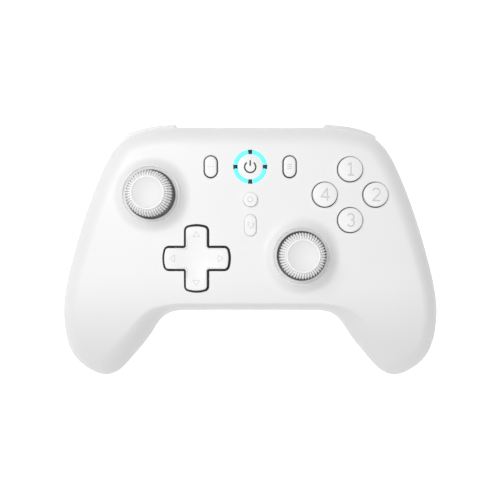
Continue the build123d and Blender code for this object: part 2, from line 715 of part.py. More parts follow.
def back_cover():
    """The back shell: battery housing, screw wells, trigger pockets, board posts and motor cradles."""
    inside, cuts = [], []
    for x, y in BOARD_POSTS:
        inside.append(disc(BOARD_POST_RADIUS, 0, BOARD_TOP_Z - BOARD_THICKNESS, x, y))
        bore_low = BOARD_TOP_Z - BOARD_SCREW_LENGTH - WALL
        cuts.append(disc(BOARD_SCREW_RADIUS + SCREW_FIT, bore_low, BOARD_TOP_Z, x, y))
    for x, y in SCREW_POSTS:
        inside.append(disc(WELL_RADIUS, 0, WELL_TOP_Z, x, y))
        cuts.append(disc(WELL_BORE_RADIUS, -OVERRUN, WELL_TOP_Z - WELL_FLOOR, x, y))
        cuts.append(disc(SCREW_RADIUS + SCREW_FIT, 0, WELL_TOP_Z + OVERRUN, x, y))
    pocket = pocket_block(POCKET_WALL, POCKET_SOUTH_Y - POCKET_WALL, 0, SHELF_BOTTOM_Z)
    shelf = block(
        BUMPER_INNER_X - WALL, BUMPER_OUTER_X + WALL, TOP_EDGE_Y - SHELF_REACH, TOP_EDGE_Y + WALL,
        SHELF_BOTTOM_Z, SHELF_TOP_Z,
    )
    pin = disc(BUMPER_PIN_RADIUS, SHELF_BOTTOM_Z, BUMPER_TOP_Z - WALL, BUMPER_PIVOT_X, BUMPER_PIVOT_Y)
    right = [(pocket - pocket_block(0.0, POCKET_SOUTH_Y, -OVERRUN, SHELF_BOTTOM_Z)) + [shelf, pin]]
    for y in (MOTOR_BACK_Y - CRADLE_INSET, MOTOR_BACK_Y - MOTOR_LENGTH + CRADLE_INSET):
        plate = block(
            MOTOR_X - CRADLE_WIDTH / 2, MOTOR_X + CRADLE_WIDTH / 2, y - CRADLE_THICKNESS / 2,
            y + CRADLE_THICKNESS / 2, 0, MOTOR_Z,
        )
        right.append(plate - rod_y(MOTOR_RADIUS + CRADLE_FIT, y - WALL, y + WALL, MOTOR_X, MOTOR_Z))
    band = bumper_band(WALL, -BUMPER_DEPTH - BUMPER_ROOM, BUMPER_GAP, SHELF_TOP_Z, SEAM_TOP_Z + WALL)
    mouth = pocket_block(0.0, POCKET_MOUTH_Y, 0, SHELF_BOTTOM_Z)
    pin_gap = TRIGGER_SIDE_GAP + POCKET_WALL
    pin_hole = rod_x(
        TRIGGER_PIN_RADIUS + TRIGGER_PIN_FIT, TRIGGER_ARM_X0 - pin_gap, TRIGGER_ARM_X1 + pin_gap,
        TRIGGER_PIVOT_Y, TRIGGER_PIVOT_Z,
    )
    for piece in right:
        inside += [piece, mirrored(piece)]
    for piece in (band, mouth, pin_hole):
        cuts += [piece, mirrored(piece)]
    cuts.append(usb_outline(USB_OPENING_GAP, TOP_EDGE_Y - 2 * WALL, TOP_EDGE_Y + WALL))
    solid = lofted(back_z, 0.0, OUTER_STATIONS, OUTER_POINTS, BURY) + plateau(0.0)
    cavity = lofted(back_z, WALL, INNER_STATIONS, INNER_POINTS, BURY) + plateau(WALL)
    cavity = cavity - inside
    shell = solid - [seam_prism(-SEAM_GAP / 2, FAR), cavity, *cuts]
    return shell + cover_lip()


def cover_lip():
    """The thin rib that stands up from the back cover inside the seam, clear of the shoulder buttons."""
    lip = lofted(front_z, WALL - LIP_WALL + LIP_CLEARANCE, INNER_STATIONS, INNER_POINTS, -BURY)
    lip = lip & seam_prism(-SEAM_GAP, LIP_HEIGHT)
    core = lofted(front_z, WALL, INNER_STATIONS, INNER_POINTS, -BURY)
    gap = bumper_band(WALL, -2 * BUMPER_DEPTH, BUMPER_GAP, SHELF_TOP_Z, SEAM_TOP_Z + WALL)
    return lip - [core, gap, mirrored(gap)]


def usb_outline(gap, y0, y1):
    """The socket's rounded outline as a bar along Y, resting on the board when the gap is nought."""
    width, height = USB_WIDTH + 2 * gap, USB_HEIGHT + 2 * gap
    outline = Plane.XZ * RectangleRounded(width, height, height / 2 - gap / 4 - BOARD_PART_ROUND)
    return moved_to(extrude(outline, -(y1 - y0)), 0, y0, BOARD_TOP_Z + USB_HEIGHT / 2)


def usb_port():
    front = TOP_EDGE_Y - USB_INSET
    shell = usb_outline(0.0, front - USB_LENGTH, front)
    shell -= usb_outline(-USB_WALL, front - USB_LENGTH + USB_WALL, front + OVERRUN)
    half = USB_TONGUE_WIDTH / 2
    middle = BOARD_TOP_Z + USB_HEIGHT / 2
    south = front - USB_LENGTH
    tongue = block(
        -half, half, south, south + USB_WALL + USB_TONGUE_LENGTH,
        middle - USB_TONGUE_HEIGHT / 2, middle + USB_TONGUE_HEIGHT / 2,
    )
    return shell + tongue


def stick_ring(x, y):
    """The pale insert round a stick: a lip over the mound, a fine step, and a funnel down to the dome."""
    low, top = MOUND_TOP_Z - RING_HEIGHT, MOUND_TOP_Z + RING_LIP_HEIGHT
    return moved_to(turned([
        (RING_BORE_RADIUS, low), (RING_SEAT_RADIUS, low), (RING_SEAT_RADIUS, MOUND_TOP_Z),
        (RING_LIP_RADIUS, MOUND_TOP_Z), (RING_LIP_RADIUS, top - RING_STEP), (RING_STEP_RADIUS, top - RING_STEP),
        (RING_STEP_RADIUS, top), (RING_BORE_RADIUS + RING_FUNNEL, top), (RING_BORE_RADIUS, top - RING_FUNNEL),
    ]), x, y, 0)


def stick_cap():
    """The thumb cap about the pivot: dished top, ribbed skirt, neck, and the dome that hides the opening."""
    edge = math.radians(DOME_EDGE_DEG)
    inner = DOME_RADIUS - DOME_WALL
    neck = math.asin(CAP_NECK_RADIUS / DOME_RADIUS)
    outline = [
        Spline((0, CAP_TOP - CAP_DISH_DROP), (CAP_DISH_RADIUS, CAP_TOP - CAP_DISH_DROP / 4),
               tangents=[(1, 0), (1, CAP_DISH_DROP / CAP_DISH_RADIUS)]),
        Spline((CAP_DISH_RADIUS, CAP_TOP - CAP_DISH_DROP / 4), ((CAP_DISH_RADIUS + CAP_RIM_RADIUS) / 2, CAP_TOP),
               (CAP_RIM_RADIUS, CAP_TOP - CAP_RIM_DROP)),
        Spline((CAP_RIM_RADIUS, CAP_TOP - CAP_RIM_DROP), (CAP_CONE_RADIUS, CAP_TOP - CAP_CONE_DROP),
               (CAP_SKIRT_RADIUS, CAP_TOP - CAP_SKIRT_DROP)),
        Polyline(
            (CAP_SKIRT_RADIUS, CAP_TOP - CAP_SKIRT_DROP), (CAP_SKIRT_RADIUS, CAP_SKIRT_BOTTOM),
            (CAP_UNDER_RADIUS, CAP_UNDER_Z), (CAP_NECK_RADIUS, CAP_NECK_TOP),
            (CAP_NECK_RADIUS, DOME_RADIUS * math.cos(neck)),
        ),
        ThreePointArc(
            (CAP_NECK_RADIUS, DOME_RADIUS * math.cos(neck)),
            (DOME_RADIUS * math.sin((neck + edge) / 2), DOME_RADIUS * math.cos((neck + edge) / 2)),
            (DOME_RADIUS * math.sin(edge), DOME_RADIUS * math.cos(edge)),
        ),
        Line(
            (DOME_RADIUS * math.sin(edge), DOME_RADIUS * math.cos(edge)),
            (inner * math.sin(edge), inner * math.cos(edge)),
        ),
        ThreePointArc(
            (inner * math.sin(edge), inner * math.cos(edge)),
            (inner * math.sin(edge / 2), inner * math.cos(edge / 2)), (0, inner),
        ),
        Line((0, inner), (0, CAP_TOP - CAP_DISH_DROP)),
    ]
    cap = revolve(Plane.XZ * make_face(outline), Axis.Z)
    low = Vector(CAP_SKIRT_RADIUS - RIB_SINK, 0, CAP_TOP - CAP_SKIRT_DROP)
    high = Vector(CAP_RIM_RADIUS + RIB_RADIUS, 0, CAP_TOP - CAP_RIM_DROP - RIB_RADIUS)
    middle = Vector(CAP_CONE_RADIUS - RIB_SINK, 0, CAP_TOP - CAP_CONE_DROP)
    path = Spline(low, middle, high)
    rib = sweep(Plane(origin=path @ 0, z_dir=path % 0) * Circle(RIB_RADIUS), path)
    ribs = [Rot(0, 0, 360 * i / RIB_COUNT) * rib for i in range(RIB_COUNT)]
    cap = cap + ribs
    return cap - disc(SHAFT_RADIUS, 0, SHAFT_TOP)


def square_ring(outer, inner, height):
    return Box(outer, outer, height) - Box(inner, inner, height + OVERRUN)


def stick_parts():
    """The stick mechanism about its pivot: housing, outer gimbal, inner core and shaft."""
    half = MODULE_WIDTH / 2
    bottom = BOARD_TOP_Z - STICK_PIVOT_Z
    hollow = half - MODULE_WALL
    housing = block(-half, half, -half, half, bottom, MODULE_TOP)
    housing -= block(-hollow, hollow, -hollow, hollow, bottom + MODULE_FLOOR, MODULE_TOP - MODULE_FLOOR)
    housing -= disc(MODULE_MOUTH_RADIUS, 0, MODULE_TOP + OVERRUN)
    housing -= rod_x(GIMBAL_PIN_RADIUS + PIVOT_FIT, -half, half, 0, 0)
    side, high = SENSOR_WIDTH / 2, bottom + SENSOR_HEIGHT
    housing += [
        block(half, half + SENSOR_DEPTH, -side, side, bottom, high),
        block(-side, side, -half - SENSOR_DEPTH, -half, bottom, high),
        disc(CLICK_SWITCH_RADIUS, bottom, SHAFT_BOTTOM - SHAFT_DIP - STICK_PRESS - CLICK_SWITCH_GAP),
    ]
    ring_out = GIMBAL_WIDTH
    gimbal = square_ring(ring_out, ring_out - 2 * GIMBAL_WALL, GIMBAL_HEIGHT)
    pin_end = half - PIN_END_GAP
    gimbal += [
        rod_x(GIMBAL_PIN_RADIUS, ring_out / 2 - OVERRUN / 2, pin_end, 0, 0),
        rod_x(GIMBAL_PIN_RADIUS, -pin_end, -ring_out / 2 + OVERRUN / 2, 0, 0),
    ]
    gimbal -= rod_y(CORE_PIN_RADIUS + PIVOT_FIT, -ring_out / 2, ring_out / 2, 0, 0)
    core_end = ring_out / 2 - PIN_END_GAP
    core = Box(CORE_WIDTH, CORE_WIDTH, CORE_HEIGHT) + rod_y(CORE_PIN_RADIUS, -core_end, core_end, 0, 0)
    core -= disc(SHAFT_RADIUS + SHAFT_FIT, -CORE_HEIGHT, CORE_HEIGHT)
    shaft = disc(SHAFT_RADIUS, SHAFT_BOTTOM, SHAFT_TOP)
    return {"module": housing, "gimbal": gimbal, "core": core, "shaft": shaft}


FLANGE_TOP_Z = FRAME_TOP_Z - FRAME_THICKNESS - FLANGE_GAP
FLANGE_LOW_Z = FLANGE_TOP_Z - FLANGE_THICKNESS


def round_button(radius, proud, rounding, x, y):
    """A domed button with a retaining flange under the inner frame and a stem down to its dome."""
    top = face_z(x, y) + proud
    crown = top - CROWN_RADIUS + math.sqrt(CROWN_RADIUS**2 - radius**2)
    half = radius / 2
    half_z = top - CROWN_RADIUS + math.sqrt(CROWN_RADIUS**2 - half**2)
    wide = radius + FLANGE_EXTRA
    side = Polyline(
        (radius, crown), (radius, FLANGE_TOP_Z), (wide, FLANGE_TOP_Z), (wide, FLANGE_LOW_Z),
        (STEM_RADIUS, FLANGE_LOW_Z), (STEM_RADIUS, STEM_BOTTOM_Z), (0, STEM_BOTTOM_Z), (0, top),
    )
    profile = make_face([ThreePointArc((0, top), (half, half_z), (radius, crown)), side])
    rim = [v for v in profile.vertices() if abs(v.X - radius) + abs(v.Y - crown) < rounding / 10]
    return moved_to(revolve(Plane.XZ * fillet(rim, rounding), Axis.Z), x, y, 0)


def pill_button(width, length, proud, x, y):
    top = face_z(x, y) + proud
    cap = pill(width, length, FLANGE_TOP_Z, top, x, y)
    cap = fillet(cap.faces().sort_by(Axis.Z)[-1].edges(), MENU_ROUND)
    grown = 2 * FLANGE_EXTRA
    flange = pill(width + grown, length + grown, FLANGE_LOW_Z, FLANGE_TOP_Z, x, y)
    return cap + [flange, disc(STEM_RADIUS, STEM_BOTTOM_Z, FLANGE_TOP_Z, x, y)]


def home_base():
    """The dark seat of the light ring, with a divider at each quarter."""
    top = FACE_Z + HOME_RING_PROUD
    seat = ring_of(HOME_RING_OUTER, HOME_RADIUS + HOME_GAP, FRAME_TOP_Z, top - HOME_RING_DEPTH, 0, MENU_ROW_Y)
    band = ring_of(HOME_RING_OUTER, HOME_RADIUS + HOME_GAP, top - HOME_RING_DEPTH, top, 0, MENU_ROW_Y)
    half = HOME_RING_DIVIDER / 2
    reach = HOME_RING_OUTER + OVERRUN
    low, high = top - HOME_RING_DEPTH, top
    bars = block(-half, half, MENU_ROW_Y - reach, MENU_ROW_Y + reach, low, high)
    bars += block(-reach, reach, MENU_ROW_Y - half, MENU_ROW_Y + half, low, high)
    return seat + (band & bars)


def home_light():
    """Four light arcs between the dividers."""
    top = FACE_Z + HOME_RING_PROUD
    fit = HOME_RING_FIT
    low = top - HOME_RING_DEPTH + fit
    band = ring_of(HOME_RING_OUTER, HOME_RADIUS + HOME_GAP, low, top, 0, MENU_ROW_Y)
    half = HOME_RING_DIVIDER / 2 + fit
    reach = HOME_RING_OUTER + OVERRUN
    bars = block(-half, half, MENU_ROW_Y - reach, MENU_ROW_Y + reach, low - OVERRUN, top + OVERRUN)
    bars += block(-reach, reach, MENU_ROW_Y - half, MENU_ROW_Y + half, low - OVERRUN, top + OVERRUN)
    return group((band - bars).solids())


def direction_pad():
    """The cross: dished top, socket for the pivot ball, retaining flange and four feet."""
    top = FACE_Z + PAD_PROUD
    cross = pad_shape(0.0, FLANGE_TOP_Z - PAD_FLANGE_GAP, top)
    cross = fillet(cross.faces().sort_by(Axis.Z)[-1].edges(), PAD_ROUND)
    flange_top = FRAME_TOP_Z - FRAME_THICKNESS - PAD_FLANGE_GAP
    flange = disc(PAD_FLANGE_RADIUS, flange_top - FLANGE_THICKNESS, flange_top, PAD_X, PAD_Y)
    feet = []
    for i in range(4):
        x = PAD_X + PAD_FOOT_OFFSET * math.cos(math.pi * i / 2)
        y = PAD_Y + PAD_FOOT_OFFSET * math.sin(math.pi * i / 2)
        feet.append(disc(PAD_FOOT_RADIUS, STEM_BOTTOM_Z, flange_top, x, y))
    dish = moved_to(Sphere(PAD_DISH_RADIUS), PAD_X, PAD_Y, top - PAD_DISH_DEPTH + PAD_DISH_RADIUS)
    cross = (cross + [flange, *feet]) - [
        dish,
        disc(PAD_BORE_RADIUS, STEM_BOTTOM_Z, PAD_PIVOT_Z + PAD_SOCKET_RISE, PAD_X, PAD_Y),
        moved_to(Sphere(PAD_BALL_RADIUS + PAD_BALL_FIT), PAD_X, PAD_Y, PAD_PIVOT_Z),
    ]
    return cross


def pad_post():
    post = disc(PAD_POST_RADIUS, BOARD_TOP_Z, PAD_PIVOT_Z - PAD_POST_DROP, PAD_X, PAD_Y)
    return post - moved_to(Sphere(PAD_BALL_RADIUS + PAD_BALL_FIT), PAD_X, PAD_Y, PAD_PIVOT_Z)


def mid_frame():
    """The dark plate behind the face, with collars that line the pad and menu openings."""
    low, top = FRAME_TOP_Z - FRAME_THICKNESS, FRAME_TOP_Z
    width, length = FRAME_EAST_X - FRAME_WEST_X, FRAME_NORTH_Y - FRAME_SOUTH_Y
    middle = (FRAME_EAST_X + FRAME_WEST_X) / 2, (FRAME_NORTH_Y + FRAME_SOUTH_Y) / 2
    plate = rounded_plate(width, length, FRAME_CORNER, low, top, *middle)
    plate = plate & lofted(front_z, WALL + FRAME_EDGE_GAP, INNER_STATIONS, INNER_POINTS, -BURY)
    collar_top = FACE_Z - COLLAR_TOP_DROP
    pad_top = face_z(PAD_X, PAD_Y - PAD_LENGTH / 2) - COLLAR_TOP_DROP
    added = [pad_shape(PAD_GAP + PAD_COLLAR - COLLAR_FIT, low, pad_top)]
    for x in (-MENU_X, MENU_X):
        added.append(menu_opening(MENU_GAP + MENU_COLLAR - COLLAR_FIT, low, collar_top, x))
    for x, y in FRAME_LEGS:
        added.append(disc(FRAME_LEG_RADIUS, BOARD_TOP_Z + FRAME_LEG_GAP, top, x, y))
    below, above = low - OVERRUN, FACE_Z + OVERRUN
    cuts = [pad_shape(PAD_GAP, below, above)]
    for x in (-MENU_X, MENU_X):
        cuts.append(menu_opening(MENU_GAP, below, above, x))
    for x, y in FACE_BUTTONS.values():
        cuts.append(disc(FACE_BUTTON_RADIUS + FRAME_BUTTON_GAP, below, above, x, y))
    gap = FRAME_BUTTON_GAP
    cuts.append(disc(HOME_RADIUS + HOME_GAP, below, above, 0, MENU_ROW_Y))
    cuts.append(disc(SMALL_RADIUS + gap, below, above, 0, SMALL_Y))
    cuts.append(pill(MODE_WIDTH + 2 * gap, MODE_LENGTH + 2 * gap, below, above, 0, MODE_Y))
    for x, y in STICK_CENTRES.values():
        cuts.append(disc(DOME_RADIUS + FRAME_STICK_GAP, below, above, x, y))
    for x, y in SCREW_POSTS:
        cuts.append(disc(POST_RADIUS + POST_HOLE_GAP, below, above, x, y))
    return (plate + added) - cuts


def membrane(sheet, domes, stem_radius):
    """A rubber sheet on the board with a hollow dome, and a contact pad in it, under each stem."""
    low = BOARD_TOP_Z + MEMBRANE_GAP
    top = STEM_BOTTOM_Z - MEMBRANE_GAP
    shoulder = top - MEMBRANE_DOME_RADIUS + stem_radius
    wall = MEMBRANE_WALL
    solid, hollow = [], []
    for x, y in domes:
        solid.append(moved_to(turned([
            (0, low), (MEMBRANE_DOME_RADIUS, low), (MEMBRANE_DOME_RADIUS, low + MEMBRANE_SHEET),
            (stem_radius, shoulder), (stem_radius, top), (0, top),
        ]), x, y, 0))
        hollow.append(moved_to(turned([
            (0, low), (MEMBRANE_DOME_RADIUS - wall, low), (stem_radius - wall / 2, shoulder - wall),
            (stem_radius - wall / 2, top - wall - MEMBRANE_PAD_HEIGHT), (0, top - wall - MEMBRANE_PAD_HEIGHT),
        ]), x, y, 0))
    return (sheet + solid) - hollow


def membranes():
    low = BOARD_TOP_Z + MEMBRANE_GAP
    high = low + MEMBRANE_SHEET
    side = FACE_PAD_RADIUS * math.sqrt(2) + 2 * MEMBRANE_MARGIN
    diamond = Location((FACE_PAD_X, FACE_PAD_Y, low), (0, 0, 45)) * RectangleRounded(side, side, MEMBRANE_MARGIN)
    face = membrane(extrude(diamond, MEMBRANE_SHEET), FACE_BUTTONS.values(), STEM_RADIUS)
    reach = 2 * (PAD_FOOT_OFFSET + MEMBRANE_MARGIN)
    pad_sheet = rounded_plate(reach, reach, MEMBRANE_MARGIN, low, high, PAD_X, PAD_Y)
    pad_sheet -= disc(PAD_POST_RADIUS + POST_HOLE_GAP, low - OVERRUN, high + OVERRUN, PAD_X, PAD_Y)
    feet = []
    for i in range(4):
        angle = math.pi * i / 2
        feet.append((PAD_X + PAD_FOOT_OFFSET * math.cos(angle), PAD_Y + PAD_FOOT_OFFSET * math.sin(angle)))
    pad = membrane(pad_sheet, feet, PAD_FOOT_RADIUS)
    margin = MEMBRANE_DOME_RADIUS
    row = block(-MENU_X - margin, MENU_X + margin, BOARD_NORTH_Y - 2 * margin, BOARD_NORTH_Y, low, high)
    column = block(-margin, margin, MODE_Y - margin, MENU_ROW_Y, low, high)
    centre_domes = [(-MENU_X, MENU_ROW_Y), (MENU_X, MENU_ROW_Y), (0, MENU_ROW_Y), (0, SMALL_Y), (0, MODE_Y)]
    centre = membrane(row + column, centre_domes, STEM_RADIUS)
    return {"face_membrane": face, "pad_membrane": pad, "centre_membrane": centre}


def main_board():
    low = BOARD_TOP_Z - BOARD_THICKNESS
    width, length = 2 * BOARD_HALF_WIDTH, BOARD_NORTH_Y - BOARD_SOUTH_Y
    board = rounded_plate(
        width, length, BOARD_CORNER, low, BOARD_TOP_Z, 0, (BOARD_NORTH_Y + BOARD_SOUTH_Y) / 2,
    )
    half = BOARD_TAB_HALF_WIDTH
    board += block(-half, half, BOARD_NORTH_Y - half, BOARD_TAB_Y, low, BOARD_TOP_Z)
    holes = []
    for x, y in BOARD_POSTS:
        holes.append(disc(BOARD_HOLE_RADIUS, low - OVERRUN, BOARD_TOP_Z + OVERRUN, x, y))
    for x, y in SCREW_POSTS:
        holes.append(disc(POST_RADIUS + POST_HOLE_GAP, low - OVERRUN, BOARD_TOP_Z + OVERRUN, x, y))
    return board - holes


def board_parts():
    parts = []
    for x, y, width, length, height, under in BOARD_PARTS:
        low = BOARD_TOP_Z - BOARD_THICKNESS - height if under else BOARD_TOP_Z
        part = block(x - width / 2, x + width / 2, y - length / 2, y + length / 2, low, low + height)
        upright = part.edges().filter_by(Axis.Z)
        parts.append(fillet(upright, BOARD_PART_ROUND))
    return group(parts)


def screw(head_radius, head_height, radius, length, bottom):
    """A screw with its head down when bottom is true, head up when not, about the underside of the head."""
    up = 1 if bottom else -1
    head = disc(head_radius, *sorted((-up * head_height, 0)))
    head = fillet(head.edges().filter_by(GeomType.CIRCLE).sort_by(Axis.Z)[0 if bottom else -1], head_height / 3)
    shaft = disc(radius, *sorted((-up * head_height / 2, up * length)))
    face = -up * head_height
    deep = sorted((face - up * OVERRUN, face + up * SCREW_DRIVE_DEPTH))
    slot = SCREW_DRIVE_WIDTH / 2
    arm = head_radius * 2 / 3
    drive = [block(-slot, slot, -arm, arm, *deep), block(-arm, arm, -slot, slot, *deep)]
    return (head + shaft) - drive


def battery():
    """A pouch cell with a folded edge and its small guard board."""
    low = WALL + BATTERY_REST_GAP
    high = low + BATTERY_THICKNESS
    half_w, half_l = BATTERY_WIDTH / 2, BATTERY_LENGTH / 2
    cell = block(-half_w, half_w, PLATEAU_Y - half_l, PLATEAU_Y + half_l, low, high)
    cell = fillet(cell.edges(), BATTERY_ROUND)
    rib = block(
        -half_w + BATTERY_ROUND, half_w - BATTERY_ROUND, PLATEAU_Y + half_l - BATTERY_ROUND,
        PLATEAU_Y + half_l + BATTERY_ROUND, low + BATTERY_ROUND, low + 2 * BATTERY_ROUND,
    )
    return cell + rib


def battery_lead():
    """Two wires from the cell up to the plug under the board."""
    x, y, width, length, height, _ = BOARD_PARTS[BATTERY_PLUG]
    plug_z = BOARD_TOP_Z - BOARD_THICKNESS - height / 2
    cell_top = WALL + BATTERY_REST_GAP + BATTERY_THICKNESS
    edge_y = PLATEAU_Y + BATTERY_LENGTH / 2
    plug_y = y + length / 2
    wires = []
    for side in (-1, 1):
        at = x + side * LEAD_SPACING / 2
        points = [
            Vector(at, edge_y - 3 * LEAD_SPACING, cell_top + 2 * LEAD_RADIUS),
            Vector(at, edge_y - LEAD_SPACING, cell_top + LEAD_SPACING),
            Vector(at, edge_y - LEAD_SPACING / 2, (cell_top + plug_z) / 2),
            Vector(at, plug_y + 2 * LEAD_SPACING, plug_z - LEAD_RADIUS / 2),
            Vector(at, plug_y + LEAD_RADIUS / 4, plug_z),
        ]
        path = Spline(*points)
        wires.append(sweep(Plane(origin=path @ 0, z_dir=path % 0) * Circle(LEAD_RADIUS), path))
    return group(wires)


def motor():
    """A can motor along Y, with its bush and two contacts."""
    front = MOTOR_BACK_Y - MOTOR_LENGTH
    can = rod_y(MOTOR_RADIUS, front, MOTOR_BACK_Y, MOTOR_X, MOTOR_Z)
    can = fillet(can.edges().filter_by(GeomType.CIRCLE), MOTOR_ROUND)
    bush = rod_y(MOTOR_BUSH_RADIUS, front - MOTOR_BUSH_LENGTH, front + OVERRUN, MOTOR_X, MOTOR_Z)
    contacts = []
    for side in (-1, 1):
        at = MOTOR_Z + side * MOTOR_RADIUS / 2
        half = MOTOR_CONTACT_WIDTH / 2
        contacts.append(block(
            MOTOR_X - half, MOTOR_X + half, MOTOR_BACK_Y - OVERRUN, MOTOR_BACK_Y + MOTOR_CONTACT_LENGTH,
            at - MOTOR_CONTACT_THICKNESS / 2, at + MOTOR_CONTACT_THICKNESS / 2,
        ))
    bore_end = front + MOTOR_SHAFT_SUNK + OVERRUN
    bore = rod_y(MOTOR_SHAFT_RADIUS + MOTOR_SHAFT_FIT, front - 2 * MOTOR_BUSH_LENGTH, bore_end, MOTOR_X, MOTOR_Z)
    return (can + [bush, *contacts]) - bore


def motor_shaft():
    front = MOTOR_BACK_Y - MOTOR_LENGTH
    south = front - MOTOR_SHAFT_LENGTH
    return rod_y(MOTOR_SHAFT_RADIUS, south, front + MOTOR_SHAFT_SUNK, MOTOR_X, MOTOR_Z)


def motor_weight():
    """The half disc that shakes the grip."""
    north = MOTOR_BACK_Y - MOTOR_LENGTH - MOTOR_BUSH_LENGTH - WEIGHT_GAP
    south = north - WEIGHT_LENGTH
    half = rod_y(WEIGHT_RADIUS, south, north, MOTOR_X, MOTOR_Z)
    half -= block(
        MOTOR_X - 2 * WEIGHT_RADIUS, MOTOR_X + 2 * WEIGHT_RADIUS, south - WALL, north + WALL,
        MOTOR_Z, MOTOR_Z + 2 * WEIGHT_RADIUS,
    )
    weight = half + rod_y(WEIGHT_HUB_RADIUS, south, north, MOTOR_X, MOTOR_Z)
    return weight - rod_y(MOTOR_SHAFT_RADIUS, south - WALL, north + WALL, MOTOR_X, MOTOR_Z)


def bumper():
    """A shoulder button: the curved bar, its hinge boss, and the pusher for its switch."""
    bar = bumper_band(BUMPER_PROUD, -BUMPER_DEPTH, 0.0, BUMPER_BOTTOM_Z, BUMPER_TOP_Z)
    outer = bar.faces().sort_by(Axis.Y)[-1]
    bar = fillet(outer.edges(), BUMPER_ROUND)
    low, high = BUMPER_BOTTOM_Z + BUMPER_ARM_INSET, BUMPER_TOP_Z - BUMPER_ARM_INSET
    x, y = BUMPER_PIVOT_X, BUMPER_PIVOT_Y
    half = BUMPER_ARM_WIDTH / 2
    arm = block(x - half, x + half, y, y + BUMPER_BOSS_RADIUS + 2 * OVERRUN, low, high)
    boss = disc(BUMPER_BOSS_RADIUS, low, high, x, y)
    reach = SHOULDER_BOARD_Y + SHOULDER_BOARD_THICKNESS + SWITCH_LENGTH + SWITCH_PLUNGER_LENGTH + SWITCH_REACH_GAP
    inner_y = outline_row(-BUMPER_DEPTH, SWITCH_X, SWITCH_X, 1)[0][1]
    half = PUSHER_WIDTH / 2
    pusher = block(
        SWITCH_X - half, SWITCH_X + half, reach, inner_y + BUMPER_DEPTH / 2, SWITCH_Z - half, SWITCH_Z + half,
    )
    bore = disc(BUMPER_PIN_RADIUS + BUMPER_PIN_FIT, low - OVERRUN, high + OVERRUN, x, y)
    return (bar + [arm, boss, pusher]) - bore


def shoulder_board():
    south, north = SHOULDER_BOARD_Y, SHOULDER_BOARD_Y + SHOULDER_BOARD_THICKNESS
    return block(SHOULDER_BOARD_X0, SHOULDER_BOARD_X1, south, north, SHELF_TOP_Z, BUMPER_TOP_Z - BUMPER_ARM_INSET)


def shoulder_switch():
    south = SHOULDER_BOARD_Y + SHOULDER_BOARD_THICKNESS
    half_w, half_h = SWITCH_WIDTH / 2, SWITCH_HEIGHT / 2
    body = block(
        SWITCH_X - half_w, SWITCH_X + half_w, south, south + SWITCH_LENGTH, SWITCH_Z - half_h, SWITCH_Z + half_h,
    )
    north = south + SWITCH_LENGTH
    return body + rod_y(SWITCH_PLUNGER_RADIUS, north - OVERRUN, north + SWITCH_PLUNGER_LENGTH, SWITCH_X, SWITCH_Z)


def trigger():
    """The finger lever lofted along the body's far edge, with its arm, boss and magnet tail."""
    edge = outline_row(0.0, TRIGGER_INNER_X, TRIGGER_OUTER_X, TRIGGER_STATIONS)
    sections = []
    for x, y in edge:
        points = [Vector(x, y + out, TRIGGER_PIVOT_Z + up) for out, up in TRIGGER_PROFILE]
        sections.append(Wire([Spline(*points, periodic=True)]))
    lever = Solid.make_loft(sections, ruled=False)
    x0, x1 = TRIGGER_ARM_X0, TRIGGER_ARM_X1
    y, z = TRIGGER_PIVOT_Y, TRIGGER_PIVOT_Z
    reach = min(at for _, at in outline_row(0.0, x0, x1, TRIGGER_STATIONS))
    arm = block(x0, x1, y, reach - TRIGGER_SIDE_GAP, z - TRIGGER_ARM_BOTTOM, z + TRIGGER_ARM_TOP)
    boss = rod_x(TRIGGER_BOSS_RADIUS, x0, x1, y, z)
    tail = block(TAIL_X0, TAIL_X1, y - TAIL_REACH, y, z - TAIL_HEIGHT / 2, z + TAIL_HEIGHT / 2)
    slot = block(
        SPRING_X - SPRING_SLOT / 2, SPRING_X + SPRING_SLOT / 2, y - 2 * TRIGGER_BOSS_RADIUS,
        y + SPRING_LEG + 2 * SPRING_WIRE_RADIUS, z - 2 * TRIGGER_BOSS_RADIUS, z + 2 * TRIGGER_BOSS_RADIUS,
    )
    bore = rod_x(TRIGGER_PIN_RADIUS + TRIGGER_PIN_FIT, x0 - OVERRUN, x1 + OVERRUN, y, z)
    end = y - TAIL_REACH
    seat = rod_y(MAGNET_RADIUS + MAGNET_FIT, end - OVERRUN, end + MAGNET_LENGTH, (TAIL_X0 + TAIL_X1) / 2, z)
    return (lever + [arm, boss, tail]) - [slot, bore, seat]


def trigger_magnet():
    end = TRIGGER_PIVOT_Y - TAIL_REACH
    return rod_y(MAGNET_RADIUS, end, end + MAGNET_LENGTH, (TAIL_X0 + TAIL_X1) / 2, TRIGGER_PIVOT_Z)


def trigger_pin():
    reach = TRIGGER_SIDE_GAP + POCKET_WALL
    return rod_x(
        TRIGGER_PIN_RADIUS, TRIGGER_ARM_X0 - reach, TRIGGER_ARM_X1 + reach, TRIGGER_PIVOT_Y, TRIGGER_PIVOT_Z,
    )


def trigger_sensor():
    """A small board with its magnetic sensor, on the dry side of the pocket's wall."""
    north = POCKET_SOUTH_Y - POCKET_WALL
    half = SENSOR_BOARD_HEIGHT / 2
    middle = (TAIL_X0 + TAIL_X1) / 2
    board = block(
        middle - half, middle + half, north - SENSOR_BOARD_THICKNESS, north,
        TRIGGER_PIVOT_Z - half, TRIGGER_PIVOT_Z + half,
    )
    south = north - SENSOR_BOARD_THICKNESS
    chip = block(
        middle - SENSOR_CHIP, middle + SENSOR_CHIP, south - SENSOR_CHIP_HEIGHT, south,
        TRIGGER_PIVOT_Z - SENSOR_CHIP, TRIGGER_PIVOT_Z + SENSOR_CHIP,
    )
    return board + chip


